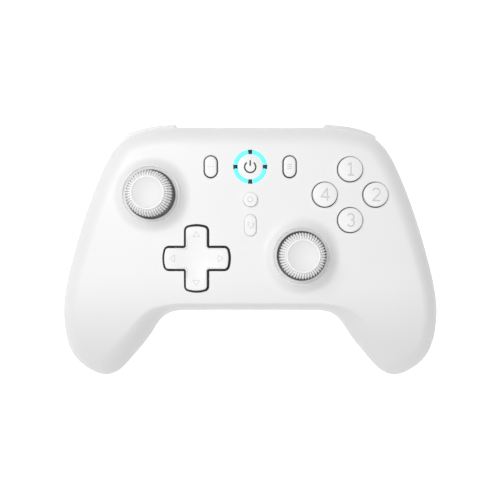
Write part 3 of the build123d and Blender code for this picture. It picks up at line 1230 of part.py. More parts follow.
def trigger_spring():
    """A torsion spring round the pin, one leg back to the pocket and one out along the arm."""
    height = SPRING_PITCH * SPRING_TURNS
    coil = Helix(SPRING_PITCH, height, SPRING_RADIUS)
    wire = sweep(Plane(origin=coil @ 0, z_dir=coil % 0) * Circle(SPRING_WIRE_RADIUS), coil, is_frenet=True)
    legs = []
    for z in (0, height):
        leg = Cylinder(SPRING_WIRE_RADIUS, SPRING_LEG, align=(Align.CENTER, Align.CENTER, Align.MIN))
        legs.append(Location((SPRING_RADIUS, 0, z), (90 if z else -90, 0, 0)) * leg)
    spring = wire + legs
    return Location((SPRING_X - height / 2, TRIGGER_PIVOT_Y, TRIGGER_PIVOT_Z), (0, 90, 0)) * spring


save("front_cover", front_cover())
save("back_cover", back_cover())
save("mid_frame", mid_frame())
save("main_board", main_board())
save("board_parts", board_parts())
save("usb_port", usb_port())
save("battery_pack", battery())
save("battery_lead", battery_lead())
for name, shape in membranes().items():
    save(name, shape)

cap = stick_cap()
mechanism = stick_parts()
for side, (x, y) in STICK_CENTRES.items():
    save(f"{side}_stick_ring", stick_ring(x, y))
    save(f"{side}_stick_cap", moved_to(cap, x, y, STICK_PIVOT_Z))
    for name, shape in mechanism.items():
        save(f"{side}_stick_{name}", moved_to(shape, x, y, STICK_PIVOT_Z))

for name, (x, y) in FACE_BUTTONS.items():
    save(name, round_button(FACE_BUTTON_RADIUS, FACE_BUTTON_PROUD, FACE_BUTTON_ROUND, x, y))
save("home_button", round_button(HOME_RADIUS, HOME_PROUD, MENU_ROUND, 0, MENU_ROW_Y))
save("home_ring_base", home_base())
save("home_light_ring", home_light())
save("select_button", pill_button(MENU_WIDTH, MENU_LENGTH, MENU_PROUD, -MENU_X, MENU_ROW_Y))
save("start_button", pill_button(MENU_WIDTH, MENU_LENGTH, MENU_PROUD, MENU_X, MENU_ROW_Y))
save("capture_button", round_button(SMALL_RADIUS, SMALL_PROUD, MENU_ROUND, 0, SMALL_Y))
save("mode_button", pill_button(MODE_WIDTH, MODE_LENGTH, SMALL_PROUD, 0, MODE_Y))
save("pad_cross", direction_pad())
save("pad_ball", moved_to(Sphere(PAD_BALL_RADIUS), PAD_X, PAD_Y, PAD_PIVOT_Z))
save("pad_post", pad_post())

paired = {
    "bumper": bumper(), "shoulder_switch": shoulder_switch(),
    "trigger": trigger(), "trigger_pin": trigger_pin(), "trigger_magnet": trigger_magnet(),
    "trigger_spring": trigger_spring(),
    "motor": motor(), "motor_shaft": motor_shaft(), "motor_weight": motor_weight(),
}
for name, shape in paired.items():
    save(f"right_{name}", shape)
    save(f"left_{name}", mirrored(shape))

for name, shape in {"shoulder_boards": shoulder_board(), "trigger_sensors": trigger_sensor()}.items():
    save(name, group([shape, mirrored(shape)]))

case_screw = screw(SCREW_HEAD_RADIUS, SCREW_HEAD_HEIGHT, SCREW_RADIUS, SCREW_LENGTH - POST_GAP, True)
board_screw = screw(BOARD_SCREW_HEAD_RADIUS, BOARD_SCREW_HEAD_HEIGHT, BOARD_SCREW_RADIUS, BOARD_SCREW_LENGTH, False)
save("case_screws", group(moved_to(case_screw, x, y, WELL_TOP_Z - WELL_FLOOR) for x, y in SCREW_POSTS))
save("board_screws", group(moved_to(board_screw, x, y, BOARD_TOP_Z) for x, y in BOARD_POSTS))
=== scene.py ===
import json
import math

import bpy
import bmesh
import numpy as np
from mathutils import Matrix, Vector


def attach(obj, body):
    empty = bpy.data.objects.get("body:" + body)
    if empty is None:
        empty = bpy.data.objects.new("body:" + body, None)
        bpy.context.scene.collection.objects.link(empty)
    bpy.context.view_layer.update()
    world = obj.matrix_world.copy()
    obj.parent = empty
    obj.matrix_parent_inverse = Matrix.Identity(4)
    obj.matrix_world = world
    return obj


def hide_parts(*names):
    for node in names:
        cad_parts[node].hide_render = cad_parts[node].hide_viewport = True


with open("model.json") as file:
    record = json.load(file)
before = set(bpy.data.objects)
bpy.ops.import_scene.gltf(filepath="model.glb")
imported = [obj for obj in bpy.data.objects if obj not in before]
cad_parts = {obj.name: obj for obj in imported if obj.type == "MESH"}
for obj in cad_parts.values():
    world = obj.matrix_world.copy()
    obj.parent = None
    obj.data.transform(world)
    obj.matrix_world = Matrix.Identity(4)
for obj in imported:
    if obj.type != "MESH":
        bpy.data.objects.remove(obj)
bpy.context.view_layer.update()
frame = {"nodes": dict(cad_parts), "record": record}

# A gamepad, face up, seen straight from above. Shapes are worked out in millimetres and written in metres.
MM = 0.001

# The camera comes first. It hangs over the origin and looks straight down.
CAMERA_HEIGHT = 317.0
LENS = 50.0
CAMERA_SHIFT = -0.0004
camera = bpy.data.objects.new("camera", bpy.data.cameras.new("camera"))
camera.data.lens = LENS
camera.data.shift_x = CAMERA_SHIFT
camera.location = (0, 0, CAMERA_HEIGHT * MM)
bpy.context.scene.collection.objects.link(camera)
bpy.context.scene.camera = camera

# Body outline, on the seam between the covers
HALF_WIDTH = 77.5
TOP_EDGE_Y = 49.8
BOTTOM_EDGE_Y = -25.0
GRIP_TIP_Y = -53.5
WIDEST = (HALF_WIDTH, -28.0)
OUTER_EDGE_SHARES = [
    (0.0, 1.0), (0.19, 1.0), (0.39, 1.0), (0.551, 0.986), (0.659, 0.9535), (0.7445, 0.874),
    (0.804, 0.779), (0.876, 0.637), (0.9355, 0.4937), (0.9806, 0.364),
]
INNER_EDGE_SHARES = [
    (0.0, 1.0), (0.161, 1.0), (0.323, 0.998), (0.395, 0.986), (0.467, 0.902), (0.535, 0.66),
    (0.644, 0.291), (0.716, 0.0877), (0.788, 0.0), (0.892, 0.1018), (0.9587, 0.2912), (0.991, 0.537),
]
EDGE_SAMPLES = 320

# Heights of the body, as in the frame
FACE_Z = 46.0
FACE_CROWN = 1.2
FACE_DROP = 20.0
FACE_DROP_START_Y = -8.0
SEAM_TOP_Z = 33.0
SEAM_DROP = 15.0
BACK_Z = 9.0
EDGE_ROUND = 9.5
BEVEL_ROUND = 5.0
BACK_ROUND = 13.0
WALL = 2.0
SEAM_GAP = 0.2
PLATEAU_HALF_X = 29.0
PLATEAU_HALF_Y = 21.0
PLATEAU_MIDDLE_Y = 12.0
PLATEAU_CORNER = 8.0
PLATEAU_SLOPE = math.tan(math.radians(28.0))
PLATEAU_FOOT = 2.0
BACK_BLEND = 2.0

# Where across the half width, or along the body, a form sets in, and over what share it grows
BEVEL_WIDENS_SHARES = (0.39, 0.28)
CREST_FADES_SHARES = (0.62, 0.15)
GRIP_STARTS_SHARES = (0.44, 0.28)
BACK_TURNS_SHARE = 0.44
# How far the crest of the bevel stands over the face, and how softly the face begins, as shares of its rise
CREST_SHARE = 0.02
FACE_BLEND_SHARE = 0.012
# Halvings in the search for a drawn-in outline, and points that are measured at one time
HALVINGS = 22
POINTS_AT_ONCE = 4000

STICKS = {"left": (-38.5, 21.5), "right": (19.9, -2.25)}
STICK_PIVOT_Z = 36.0
MOUND_TOP_Z = 48.2
MOUND_TOP_RADIUS = 11.4
MOUND_BASE_RADIUS = 15.4
RING_SEAT_RADIUS = 10.45
RIBS = 48


def through(points, start_slope, end_slope, samples):
    """A cubic spline through the points with the given end directions, as evenly spaced samples."""
    p = np.array(points, float)
    h = np.hypot(*np.diff(p, axis=0).T)
    at = np.concatenate([[0], np.cumsum(h)])
    last = len(p) - 1
    matrix = np.eye(last + 1)
    slopes = np.zeros((last + 1, 2))
    slopes[0], slopes[last] = start_slope, end_slope
    for i in range(1, last):
        matrix[i, i - 1], matrix[i, i + 1] = 1 / h[i - 1], 1 / h[i]
        matrix[i, i] = 2 / h[i - 1] + 2 / h[i]
        slopes[i] = 3 * (p[i] - p[i - 1]) / h[i - 1] ** 2 + 3 * (p[i + 1] - p[i]) / h[i] ** 2
    slopes = np.linalg.solve(matrix, slopes)
    s = np.linspace(0, at[-1], samples)
    i = np.clip(np.searchsorted(at, s, side="right") - 1, 0, last - 1)
    u = ((s - at[i]) / h[i])[:, None]
    width = h[i][:, None]
    return (
        (2 * u**3 - 3 * u**2 + 1) * p[i] + (u**3 - 2 * u**2 + u) * width * slopes[i]
        + (3 * u**2 - 2 * u**3) * p[i + 1] + (u**3 - u**2) * width * slopes[i + 1]
    )


def edge_points(shares, top_y):
    return [(HALF_WIDTH * across, GRIP_TIP_Y + (top_y - GRIP_TIP_Y) * along) for across, along in shares]


OUTER_EDGE = through(edge_points(OUTER_EDGE_SHARES, TOP_EDGE_Y) + [WIDEST], (1, 0), (0, -1), EDGE_SAMPLES)
INNER_EDGE = through(edge_points(INNER_EDGE_SHARES, BOTTOM_EDGE_Y) + [WIDEST], (1, 0), (0, 1), EDGE_SAMPLES)
TIP_INDEX = int(np.argmin(INNER_EDGE[:, 1]))
ROUND_LINE = np.vstack([OUTER_EDGE, INNER_EDGE[TIP_INDEX:][::-1]])
BEVEL_LINE = INNER_EDGE[: TIP_INDEX + 1]


def distance(x, y, line):
    """How far each point lies from a line of samples, by the mirrored half."""
    start, step = line[:-1], np.diff(line, axis=0)
    length = (step**2).sum(1)
    points = np.stack([np.abs(x).ravel(), y.ravel()], axis=1)
    found = np.empty(len(points))
    for low in range(0, len(points), POINTS_AT_ONCE):
        offset = points[low:low + POINTS_AT_ONCE, None, :] - start[None]
        share = np.clip((offset * step).sum(2) / length, 0, 1)
        gap = offset - step * share[:, :, None]
        found[low:low + POINTS_AT_ONCE] = np.sqrt((gap**2).sum(2).min(1))
    return found.reshape(x.shape)


def eased(u):
    u = np.clip(u, 0, 1)
    return u * u * (3 - 2 * u)


def sets_in(share, shares):
    """Nought up to where a form starts, then rising smoothly to one."""
    start, over = shares
    return eased((share - start) / over)


def quarter_round(u):
    return np.sqrt(1 - (1 - np.clip(u, 0, 1)) ** 2)


def soft_min(a, b, width):
    """The lower of two heights, with the crease between them rounded off."""
    bite = np.maximum(width - np.abs(a - b), 0) / width
    return np.minimum(a, b) - bite * bite * width / 4


def seam_z(y):
    share = (TOP_EDGE_Y - y) / (TOP_EDGE_Y - GRIP_TIP_Y)
    return SEAM_TOP_Z - SEAM_DROP * share * share


def face_z(x, y):
    drop = np.maximum(FACE_DROP_START_Y - y, 0.0) / (FACE_DROP_START_Y - GRIP_TIP_Y)
    return FACE_Z - FACE_CROWN * (x / HALF_WIDTH) ** 2 - FACE_DROP * drop * drop


def mound(x, y):
    """The soft rise round each stick."""
    rise = np.zeros(np.shape(x))
    for cx, cy in STICKS.values():
        share = (MOUND_BASE_RADIUS - np.hypot(x - cx, y - cy)) / (MOUND_BASE_RADIUS - MOUND_TOP_RADIUS)
        rise = np.maximum(rise, np.clip(share, 0, 1) ** 2)
    return rise


def front_z(x, y, inset=0.0):
    """Height of the front cover's surface, or of the surface one wall under it."""
    share = np.abs(x) / HALF_WIDTH
    bevel = BEVEL_ROUND + (EDGE_ROUND - BEVEL_ROUND) * sets_in(share, BEVEL_WIDENS_SHARES)
    crest = 1 + CREST_SHARE - CREST_SHARE * sets_in(share, CREST_FADES_SHARES)
    rounded = quarter_round((distance(x, y, ROUND_LINE) - inset) / (EDGE_ROUND - inset))
    bevelled = crest * quarter_round((distance(x, y, BEVEL_LINE) - inset) / (bevel - inset))
    rise = soft_min(np.minimum(rounded, bevelled), 1.0, FACE_BLEND_SHARE)
    low = seam_z(y) + SEAM_GAP / 2
    face = face_z(x, y)
    face = face + (MOUND_TOP_Z - face) * mound(x, y) - inset
    return low + (face - low) * rise


def plateau_z(x, y, wall):
    """The battery housing's sloped skirt: nought on its flat, rising away from it."""
    dx = np.abs(x) - (PLATEAU_HALF_X - PLATEAU_CORNER)
    dy = np.abs(y - PLATEAU_MIDDLE_Y) - (PLATEAU_HALF_Y - PLATEAU_CORNER)
    outside = np.hypot(np.maximum(dx, 0), np.maximum(dy, 0)) + np.minimum(np.maximum(dx, dy), 0)
    slope = (outside - PLATEAU_CORNER + wall) / PLATEAU_SLOPE
    # A rounded foot where the slope leaves the flat
    foot = np.where(slope > 0, slope * slope / (2 * PLATEAU_FOOT), 0)
    return wall + np.where(slope > PLATEAU_FOOT, slope - PLATEAU_FOOT / 2, foot)


def back_z(x, y, inset=0.0):
    """Height of the back cover's surface, or of the surface one wall inside it."""
    grip = sets_in(np.abs(x) / HALF_WIDTH, GRIP_STARTS_SHARES)
    turn_y = TOP_EDGE_Y * BACK_TURNS_SHARE
    along = eased((turn_y - y) / (2 * turn_y))
    gap = np.minimum(distance(x, y, ROUND_LINE), distance(x, y, BEVEL_LINE))
    rise = quarter_round((gap - inset) / (BACK_ROUND - inset))
    high = seam_z(y) - SEAM_GAP / 2
    base = high - (high - BACK_Z * (1 - grip * along) - inset) * rise
    return soft_min(base, plateau_z(x, y, inset), BACK_BLEND)


def spans(xs, inset):
    """The lowest and highest y of the outline at each x, drawn in by the inset."""
    low = np.interp(np.abs(xs), INNER_EDGE[:, 0], INNER_EDGE[:, 1])
    high = np.interp(np.abs(xs), OUTER_EDGE[:, 0], OUTER_EDGE[:, 1])
    if not inset:
        return low, high
    ends = []
    for outside in (low, high):
        inside, outside = (low + high) / 2, outside.copy()
        for _ in range(HALVINGS):
            trial = (inside + outside) / 2
            gap = np.minimum(distance(xs, trial, ROUND_LINE), distance(xs, trial, BEVEL_LINE))
            inside = np.where(gap > inset, trial, inside)
            outside = np.where(gap > inset, outside, trial)
        ends.append(inside)
    return ends


# Mesh helpers. Each shape is a pair: points as an array, and faces as lists of indices.
EDGE_TRIM_SHARE = 0.9985
EVEN_SHARE = 0.4
ROUND_STEPS = 96
FINE_STEPS = 128
COARSE_STEPS = 64
BOSS_STEPS = 48
SMALL_STEPS = 24
ON_AXIS = 1e-6
RIB_MEAN, RIB_SWING = 0.55, 0.95


def grid_faces(rows, columns, wrap=False):
    faces = []
    for i in range(rows - 1):
        for j in range(columns if wrap else columns - 1):
            k = (j + 1) % columns
            a, b = i * columns, (i + 1) * columns
            faces.append((a + j, b + j, b + k, a + k))
    return faces


def joined(*shapes):
    points, faces, start = [], [], 0
    for p, f in shapes:
        points.append(np.asarray(p, float))
        faces += [tuple(start + i for i in face) for face in f]
        start += len(p)
    return np.vstack(points), faces


def swept(rings):
    """A solid through equal rings of points, closed at both ends."""
    count, rows = len(rings[0]), len(rings)
    faces = grid_faces(rows, count, wrap=True)
    faces += [tuple(range(count)), tuple(range(rows * count - 1, (rows - 1) * count - 1, -1))]
    return np.array(rings, float).reshape(-1, 3), faces


def shell(height, stations, rows):
    """A closed shell one wall thick: the outer surface, the inner one, and the rim between them."""
    even = np.linspace(0, 1, rows)
    # Part even, part crowded to the edges, so the broad face has small faces too
    across = (1 - EVEN_SHARE) * (1 - np.cos(math.pi * even)) / 2 + EVEN_SHARE * even
    layers = []
    for inset in (0.0, WALL):
        xs = (HALF_WIDTH - inset) * EDGE_TRIM_SHARE * np.sin(math.pi * np.linspace(-0.5, 0.5, stations))
        low, high = spans(xs, inset)
        ys = low[:, None] + (high - low)[:, None] * across[None]
        grid_x = np.repeat(xs[:, None], rows, axis=1)
        layers.append(np.stack([grid_x, ys, height(grid_x, ys, inset)], axis=2).reshape(-1, 3))
    count = stations * rows
    faces = grid_faces(stations, rows)
    faces += [tuple(count + i for i in reversed(face)) for face in grid_faces(stations, rows)]
    border = [i * rows for i in range(stations)]
    border += [(stations - 1) * rows + j for j in range(1, rows)]
    border += [i * rows + rows - 1 for i in range(stations - 2, -1, -1)]
    border += [j for j in range(rows - 2, 0, -1)]
    for a, b in zip(border, border[1:] + border[:1]):
        faces.append((a, b, count + b, count + a))
    return np.vstack(layers), faces


def arc(centre, radius, start, end, steps):
    angles = np.radians(np.linspace(start, end, steps))
    return [(centre[0] + radius * math.cos(a), centre[1] + radius * math.sin(a)) for a in angles]


def eased_corners(points, radii, steps=6, closed=True):
    """A polygon whose corners are rounded by arcs of the given radii."""
    pts = [Vector(p) for p in points]
    count = len(pts)
    found = []
    for i, p in enumerate(pts):
        radius = radii[i] if isinstance(radii, (list, tuple)) else radii
        if not radius or (not closed and i in (0, count - 1)):
            found.append(tuple(p))
            continue
        a, b = pts[i - 1] - p, pts[(i + 1) % count] - p
        half = a.angle(b) / 2
        # An arc takes up less than half of the shorter side
        reach = min(radius / math.tan(half), 0.49 * a.length, 0.49 * b.length)
        start, end = p + a.normalized() * reach, p + b.normalized() * reach
        middle = p + (a.normalized() + b.normalized()).normalized() * reach / math.cos(half)
        r = (start - middle).length
        for k in range(steps + 1):
            mixed = (start - middle).lerp(end - middle, k / steps).normalized() * r
            found.append(tuple(middle + mixed))
    return found


def lathe(profile, centre, steps=ROUND_STEPS, wave=None):
    """A revolve of (radius, z) pairs that start and end on the axis, or close on themselves."""
    profile = np.array(profile, float)
    on_axis = abs(profile[0, 0]) < ON_AXIS and abs(profile[-1, 0]) < ON_AXIS
    ring = profile[1:-1] if on_axis else profile
    angle = np.linspace(0, 2 * math.pi, steps, endpoint=False)
    radius = np.repeat(ring[:, :1], steps, axis=1)
    height = np.repeat(ring[:, 1:], steps, axis=1)
    if wave is not None:
        slope = np.gradient(ring, axis=0)
        slope /= np.hypot(*slope.T)[:, None]
        rise = wave(*ring.T)[:, None] * eased(RIB_MEAN + RIB_SWING * np.cos(RIBS * angle))[None]
        radius, height = radius - rise * slope[:, 1:], height + rise * slope[:, :1]
    points = np.stack(
        [centre[0] + radius * np.cos(angle), centre[1] + radius * np.sin(angle), height], axis=2,
    ).reshape(-1, 3)
    last_row = (len(ring) - 1) * steps
    faces = grid_faces(len(ring), steps, wrap=True)
    if on_axis:
        ends = np.array([[centre[0], centre[1], profile[0, 1]], [centre[0], centre[1], profile[-1, 1]]])
        first, last = len(points), len(points) + 1
        points = np.vstack([points, ends])
    for j in range(steps):
        k = (j + 1) % steps
        if on_axis:
            faces.append((first, j, k))
            faces.append((last, last_row + k, last_row + j))
        else:
            faces.append((last_row + j, j, k, last_row + k))
    return points, faces


def grown(outline, extra):
    """A closed outline, drawn anticlockwise, moved out along its normals."""
    p = np.array(outline, float)
    step = np.roll(p, -1, axis=0) - np.roll(p, 1, axis=0)
    step /= np.hypot(*step.T)[:, None]
    return p + extra * np.stack([step[:, 1], -step[:, 0]], axis=1)


def stack(outline, levels, rings, centre, top=None):
    """A solid through copies of an outline, each grown and lifted. top(x, y) shapes the last face."""
    rows = []
    for extra, z in levels:
        line = np.array(outline(extra)) if callable(outline) else grown(outline, extra)
        rows.append(np.column_stack([line, np.full(len(line), z)]))
    last = rows[-1]
    middle = np.array(centre)
    for k in range(1, rings):
        flat = middle + (last[:, :2] - middle) * (1 - k / rings)
        z = top(flat[:, 0], flat[:, 1]) if top else np.full(len(flat), last[0, 2])
        rows.append(np.column_stack([flat, z]))
    count = len(last)
    faces = grid_faces(len(rows), count, wrap=True)
    z = float(top(middle[:1], middle[1:])[0]) if top else float(last[0, 2])
    points = np.vstack(rows + [[[middle[0], middle[1], z]]])
    tip, start = len(points) - 1, (len(rows) - 1) * count
    faces += [(start + j, tip, start + (j + 1) % count) for j in range(count)]
    faces.append(tuple(range(count - 1, -1, -1)))
    return points, faces


def box(x0, x1, y0, y1, z0, z1):
    points = [(x, y, z) for x in (x0, x1) for y in (y0, y1) for z in (z0, z1)]
    faces = [(0, 1, 3, 2), (4, 6, 7, 5), (0, 4, 5, 1), (2, 3, 7, 6), (0, 2, 6, 4), (1, 5, 7, 3)]
    return np.array(points, float), faces


def mirrored(shape):
    points, faces = shape
    return np.array(points) * (-1, 1, 1), [tuple(reversed(face)) for face in faces]


# The cosine and sine of the four quarter turns
QUARTER_TURNS = [(1, 0), (0, 1), (-1, 0), (0, -1)]

# Pieces. Edges sharper than the angle stay crisp.
SHARP_DEG = 40.0
COVER_SHARP_DEG = 50.0
STROKE_SHARP_DEG = 60.0
CAP_SHARP_DEG = 60.0
ROUND_SHARP_DEG = 50.0
BAR_SHARP_DEG = 45.0
CARRIED_SHARP_DEG = 35.0


def outward_mesh(name, shape):
    """The shape as a mesh in metres, with its faces turned outwards."""
    points, faces = shape
    mesh = bpy.data.meshes.new(name)
    mesh.from_pydata((np.asarray(points) * MM).tolist(), [], faces)
    work = bmesh.new()
    work.from_mesh(mesh)
    bmesh.ops.recalc_face_normals(work, faces=work.faces)
    work.to_mesh(mesh)
    work.free()
    return mesh


def placed(name, data):
    obj = bpy.data.objects.new(name, data)
    bpy.context.scene.collection.objects.link(obj)
    return obj


def evaluated(obj):
    """A mesh of the object with its modifiers or its curve's thickness worked out."""
    bpy.context.view_layer.update()
    return bpy.data.meshes.new_from_object(obj.evaluated_get(bpy.context.evaluated_depsgraph_get()))


def smoothed(mesh, sharp):
    mesh.shade_smooth()
    mesh.set_sharp_from_angle(angle=math.radians(sharp))


def dressed(obj, body, finish, replaces, sharp):
    """Gives a piece its finish and its body, and hides the nodes that it stands for."""
    smoothed(obj.data, sharp)
    obj.data.materials.clear()
    obj.data.materials.append(finishes[finish])
    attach(obj, body)
    if replaces:
        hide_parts(*replaces)
    return obj


def make(name, shape, body, finish, replaces=(), sharp=SHARP_DEG):
    """A shape as a piece that rides on a body."""
    return dressed(placed(name, outward_mesh(name, shape)), body, finish, replaces, sharp)


def carve(obj, cutter_shape, sharp):
    """Cuts one set of closed shapes out of a piece."""
    cutter = placed("cutter", outward_mesh("cutter", cutter_shape))
    modifier = obj.modifiers.new("carve", "BOOLEAN")
    modifier.operation, modifier.solver, modifier.object = "DIFFERENCE", "EXACT", cutter
    cut = evaluated(obj)
    obj.modifiers.clear()
    obj.data = cut
    bpy.data.objects.remove(cutter)
    smoothed(cut, sharp)


def stroke(name, lines, radius, body, finish, closed=False):
    """Rounded strokes that stand a little out of a surface, for marks."""
    curve = bpy.data.curves.new(name, "CURVE")
    curve.dimensions = "3D"
    curve.bevel_depth = radius * MM
    curve.bevel_resolution = 3
    curve.use_fill_caps = True
    for line in lines:
        spline = curve.splines.new("POLY")
        spline.points.add(len(line) - 1)
        for point, (x, y, z) in zip(spline.points, line):
            point.co = (x * MM, y * MM, z * MM, 1)
        spline.use_cyclic_u = closed
    source = placed(name + "_line", curve)
    mesh = evaluated(source)
    bpy.data.objects.remove(source)
    dressed(placed(name, mesh), body, finish, (), STROKE_SHARP_DEG)


# Materials
GRAIN_DETAIL = 3
TONE_SCALE = 35
GLOSS_SWING = 0.06
BUMP_REACH = 0.0002


def surface(name, colour, rough, grain, bump, tint=0.02, metal=0.0, glow=0.0, coat=0.0):
    """A moulded or metal finish: fine grain in the bump, and slow changes in tone and gloss."""
    material = bpy.data.materials.new(name)
    material.use_nodes = True
    nodes, links = material.node_tree.nodes, material.node_tree.links
    shader = nodes["Principled BSDF"]
    place = nodes.new("ShaderNodeTexCoord")
    fine = nodes.new("ShaderNodeTexNoise")
    fine.inputs["Scale"].default_value = grain
    fine.inputs["Detail"].default_value = GRAIN_DETAIL
    slow = nodes.new("ShaderNodeTexNoise")
    slow.inputs["Scale"].default_value = TONE_SCALE
    links.new(place.outputs["Object"], fine.inputs["Vector"])
    links.new(place.outputs["Object"], slow.inputs["Vector"])
    tone = nodes.new("ShaderNodeMix")
    tone.data_type = "RGBA"
    tone.inputs["A"].default_value = (*[c * (1 - tint) for c in colour], 1)
    tone.inputs["B"].default_value = (*[min(c * (1 + tint), 1) for c in colour], 1)
    links.new(slow.outputs["Fac"], tone.inputs["Factor"])
    links.new(tone.outputs["Result"], shader.inputs["Base Color"])
    gloss = nodes.new("ShaderNodeMapRange")
    gloss.inputs["To Min"].default_value = max(rough - GLOSS_SWING, 0.02)
    gloss.inputs["To Max"].default_value = min(rough + GLOSS_SWING, 1)
    links.new(fine.outputs["Fac"], gloss.inputs["Value"])
    links.new(gloss.outputs["Result"], shader.inputs["Roughness"])
    relief = nodes.new("ShaderNodeBump")
    relief.inputs["Strength"].default_value = bump
    relief.inputs["Distance"].default_value = BUMP_REACH
    links.new(fine.outputs["Fac"], relief.inputs["Height"])
    links.new(relief.outputs["Normal"], shader.inputs["Normal"])
    shader.inputs["Metallic"].default_value = metal
    shader.inputs["Coat Weight"].default_value = coat
    if glow:
        shader.inputs["Emission Color"].default_value = (*colour, 1)
        shader.inputs["Emission Strength"].default_value = glow
    return material


# Each finish: its colour, its roughness, and the scale and strength of its grain
FINISHES = {
    "shell_white": ((0.84, 0.84, 0.845), 0.42, 1400, 0.06),
    "button_white": ((0.87, 0.87, 0.875), 0.32, 1800, 0.03),
    # A darker copy of the cap's finish for its dish: painted shade
    "cap_rubber": ((0.80, 0.80, 0.805), 0.55, 1600, 0.10),
    "cap_white": ((0.92, 0.92, 0.925), 0.45, 1600, 0.04),
    # A darker copy for the faces between the cap's ribs: painted shade in the grooves
    "cap_groove_shade": ((0.60, 0.60, 0.605), 0.6, 1600, 0.06),
    "ring_pale": ((0.72, 0.72, 0.725), 0.3, 1800, 0.02),
    "dome_dark": ((0.27, 0.27, 0.272), 0.5, 1500, 0.05),
    "mark_grey": ((0.62, 0.62, 0.63), 0.45, 1800, 0.02),
    "mark_dark": ((0.035, 0.035, 0.04), 0.4, 1800, 0.02),
    "frame_dark": ((0.012, 0.012, 0.014), 0.5, 1200, 0.08),
    "light_cyan": ((0.10, 0.93, 1.0), 0.35, 900, 0.02),
    "board_green": ((0.012, 0.09, 0.05), 0.35, 600, 0.05),
    "chip_dark": ((0.02, 0.02, 0.022), 0.45, 1500, 0.08),
    "membrane_grey": ((0.30, 0.31, 0.32), 0.6, 1500, 0.08),
    "cell_foil": ((0.55, 0.56, 0.58), 0.3, 400, 0.15),
    "lead_black": ((0.02, 0.02, 0.02), 0.5, 1500, 0.05),
    "steel": ((0.62, 0.62, 0.64), 0.28, 1200, 0.05),
    "mechanism_black": ((0.025, 0.025, 0.027), 0.4, 1300, 0.08),
}
EXTRAS = {
    "light_cyan": {"glow": 0.75}, "board_green": {"coat": 0.3}, "cell_foil": {"metal": 0.8},
    "steel": {"metal": 1.0},
}
finishes = {name: surface(name, *look, **EXTRAS.get(name, {})) for name, look in FINISHES.items()}
# The record's slot, where a finish goes by another name
for entry in frame["record"]["subparts"]:
    node = frame["nodes"][entry["node"]]
    node.data.materials.clear()
    node.data.materials.append(finishes[entry["material_slot"]])

# Openings in the face, with softly rounded rims
FACE_BUTTONS = {"north": (39.0, 31.53), "south": (39.0, 11.67), "east": (48.93, 21.6), "west": (29.07, 21.6)}
MENU_ROW_Y = 32.5
MENU_X = 15.4
CAPTURE_Y = 19.65
MODE_Y = 9.64
PAD = (-20.96, -3.3)
PAD_REACH = 12.5
PAD_HALF_WIDTH = 4.05
PAD_BULGE = 0.75
PAD_CORNER = 1.3
PAD_INNER_CORNER = 0.95
PAD_GAP = 0.93
FACE_OPENING_RADIUS = 5.08
HOME_OPENING_RADIUS = 6.58
CAPTURE_OPENING_RADIUS = 2.83
MENU_OPENING = (5.6, 9.0)
MODE_OPENING = (4.86, 8.56)
CUTTER_FOOT_Z = 38.0
CUTTER_TOP_Z = 52.0
RIM = [(0.0, -0.45), (0.05, -0.22), (0.16, -0.06), (0.36, 0.02), (0.45, 0.6)]
RIM_OVERRUN = (0.5, 0.8)
# How large a rim is beside the one above
HOME_RIM_SHARE = 0.4
SMALL_RIM_SHARE = 0.3
PAD_RIM_SHARE = 0.5


def rim_levels(face, extra=0.0, size=1.0):
    """Levels of a cutter whose mouth flares out, so that the opening gets a rounded rim."""
    levels = [(extra, CUTTER_FOOT_Z)] + [(extra + out * size, face + up * size) for out, up in RIM]
    return levels + [(extra + RIM_OVERRUN[0], face + RIM_OVERRUN[1])]


def round_cutter(radius, x, y, size=1.0):
    levels = rim_levels(float(face_z(x, y)), 0.0, size)
    side = [(radius + out, z) for out, z in levels]
    return lathe([(0, CUTTER_FOOT_Z)] + side + [(0, levels[-1][1])], (x, y))


def pill_outline(width, length, x, y, steps=20):
    radius, reach = width / 2, (length - width) / 2
    return arc((x, y + reach), radius, 0, 180, steps) + arc((x, y - reach), radius, 180, 360, steps)


def pill_cutter(opening, x, y, size=1.0):
    return stack(pill_outline(*opening, x, y), rim_levels(float(face_z(x, y)), 0.0, size), 2, (x, y))


def pad_line(extra=0.0, corner_steps=7, tip_steps=11):
    """The cross grown by the extra, anticlockwise, always with the same number of points."""
    tip = (PAD_HALF_WIDTH**2 + PAD_BULGE**2) / (2 * PAD_BULGE)
    start = PAD_REACH - tip
    turn_in = PAD_HALF_WIDTH - PAD_CORNER
    across = start + math.sqrt((tip - PAD_CORNER) ** 2 - turn_in**2)
    lean = math.degrees(math.asin(turn_in / (tip - PAD_CORNER)))
    inner = max(PAD_INNER_CORNER - extra, 0.1)
    side = PAD_HALF_WIDTH + extra
    along = across - side - inner
    arm = arc((across, -turn_in), PAD_CORNER + extra, -90, -lean, corner_steps)
    arm += arc((start, 0), tip + extra, -lean, lean, tip_steps)[1:-1]
    arm += arc((across, turn_in), PAD_CORNER + extra, lean, 90, corner_steps)
    arm += [(across - along * k / tip_steps, side) for k in range(1, tip_steps)]
    arm += arc((side + inner, side + inner), inner, 270, 180, corner_steps)
    arm += [(side, side + inner + along * k / tip_steps) for k in range(1, tip_steps)]
    return [(PAD[0] + c * x - s * y, PAD[1] + s * x + c * y) for c, s in QUARTER_TURNS for x, y in arm]


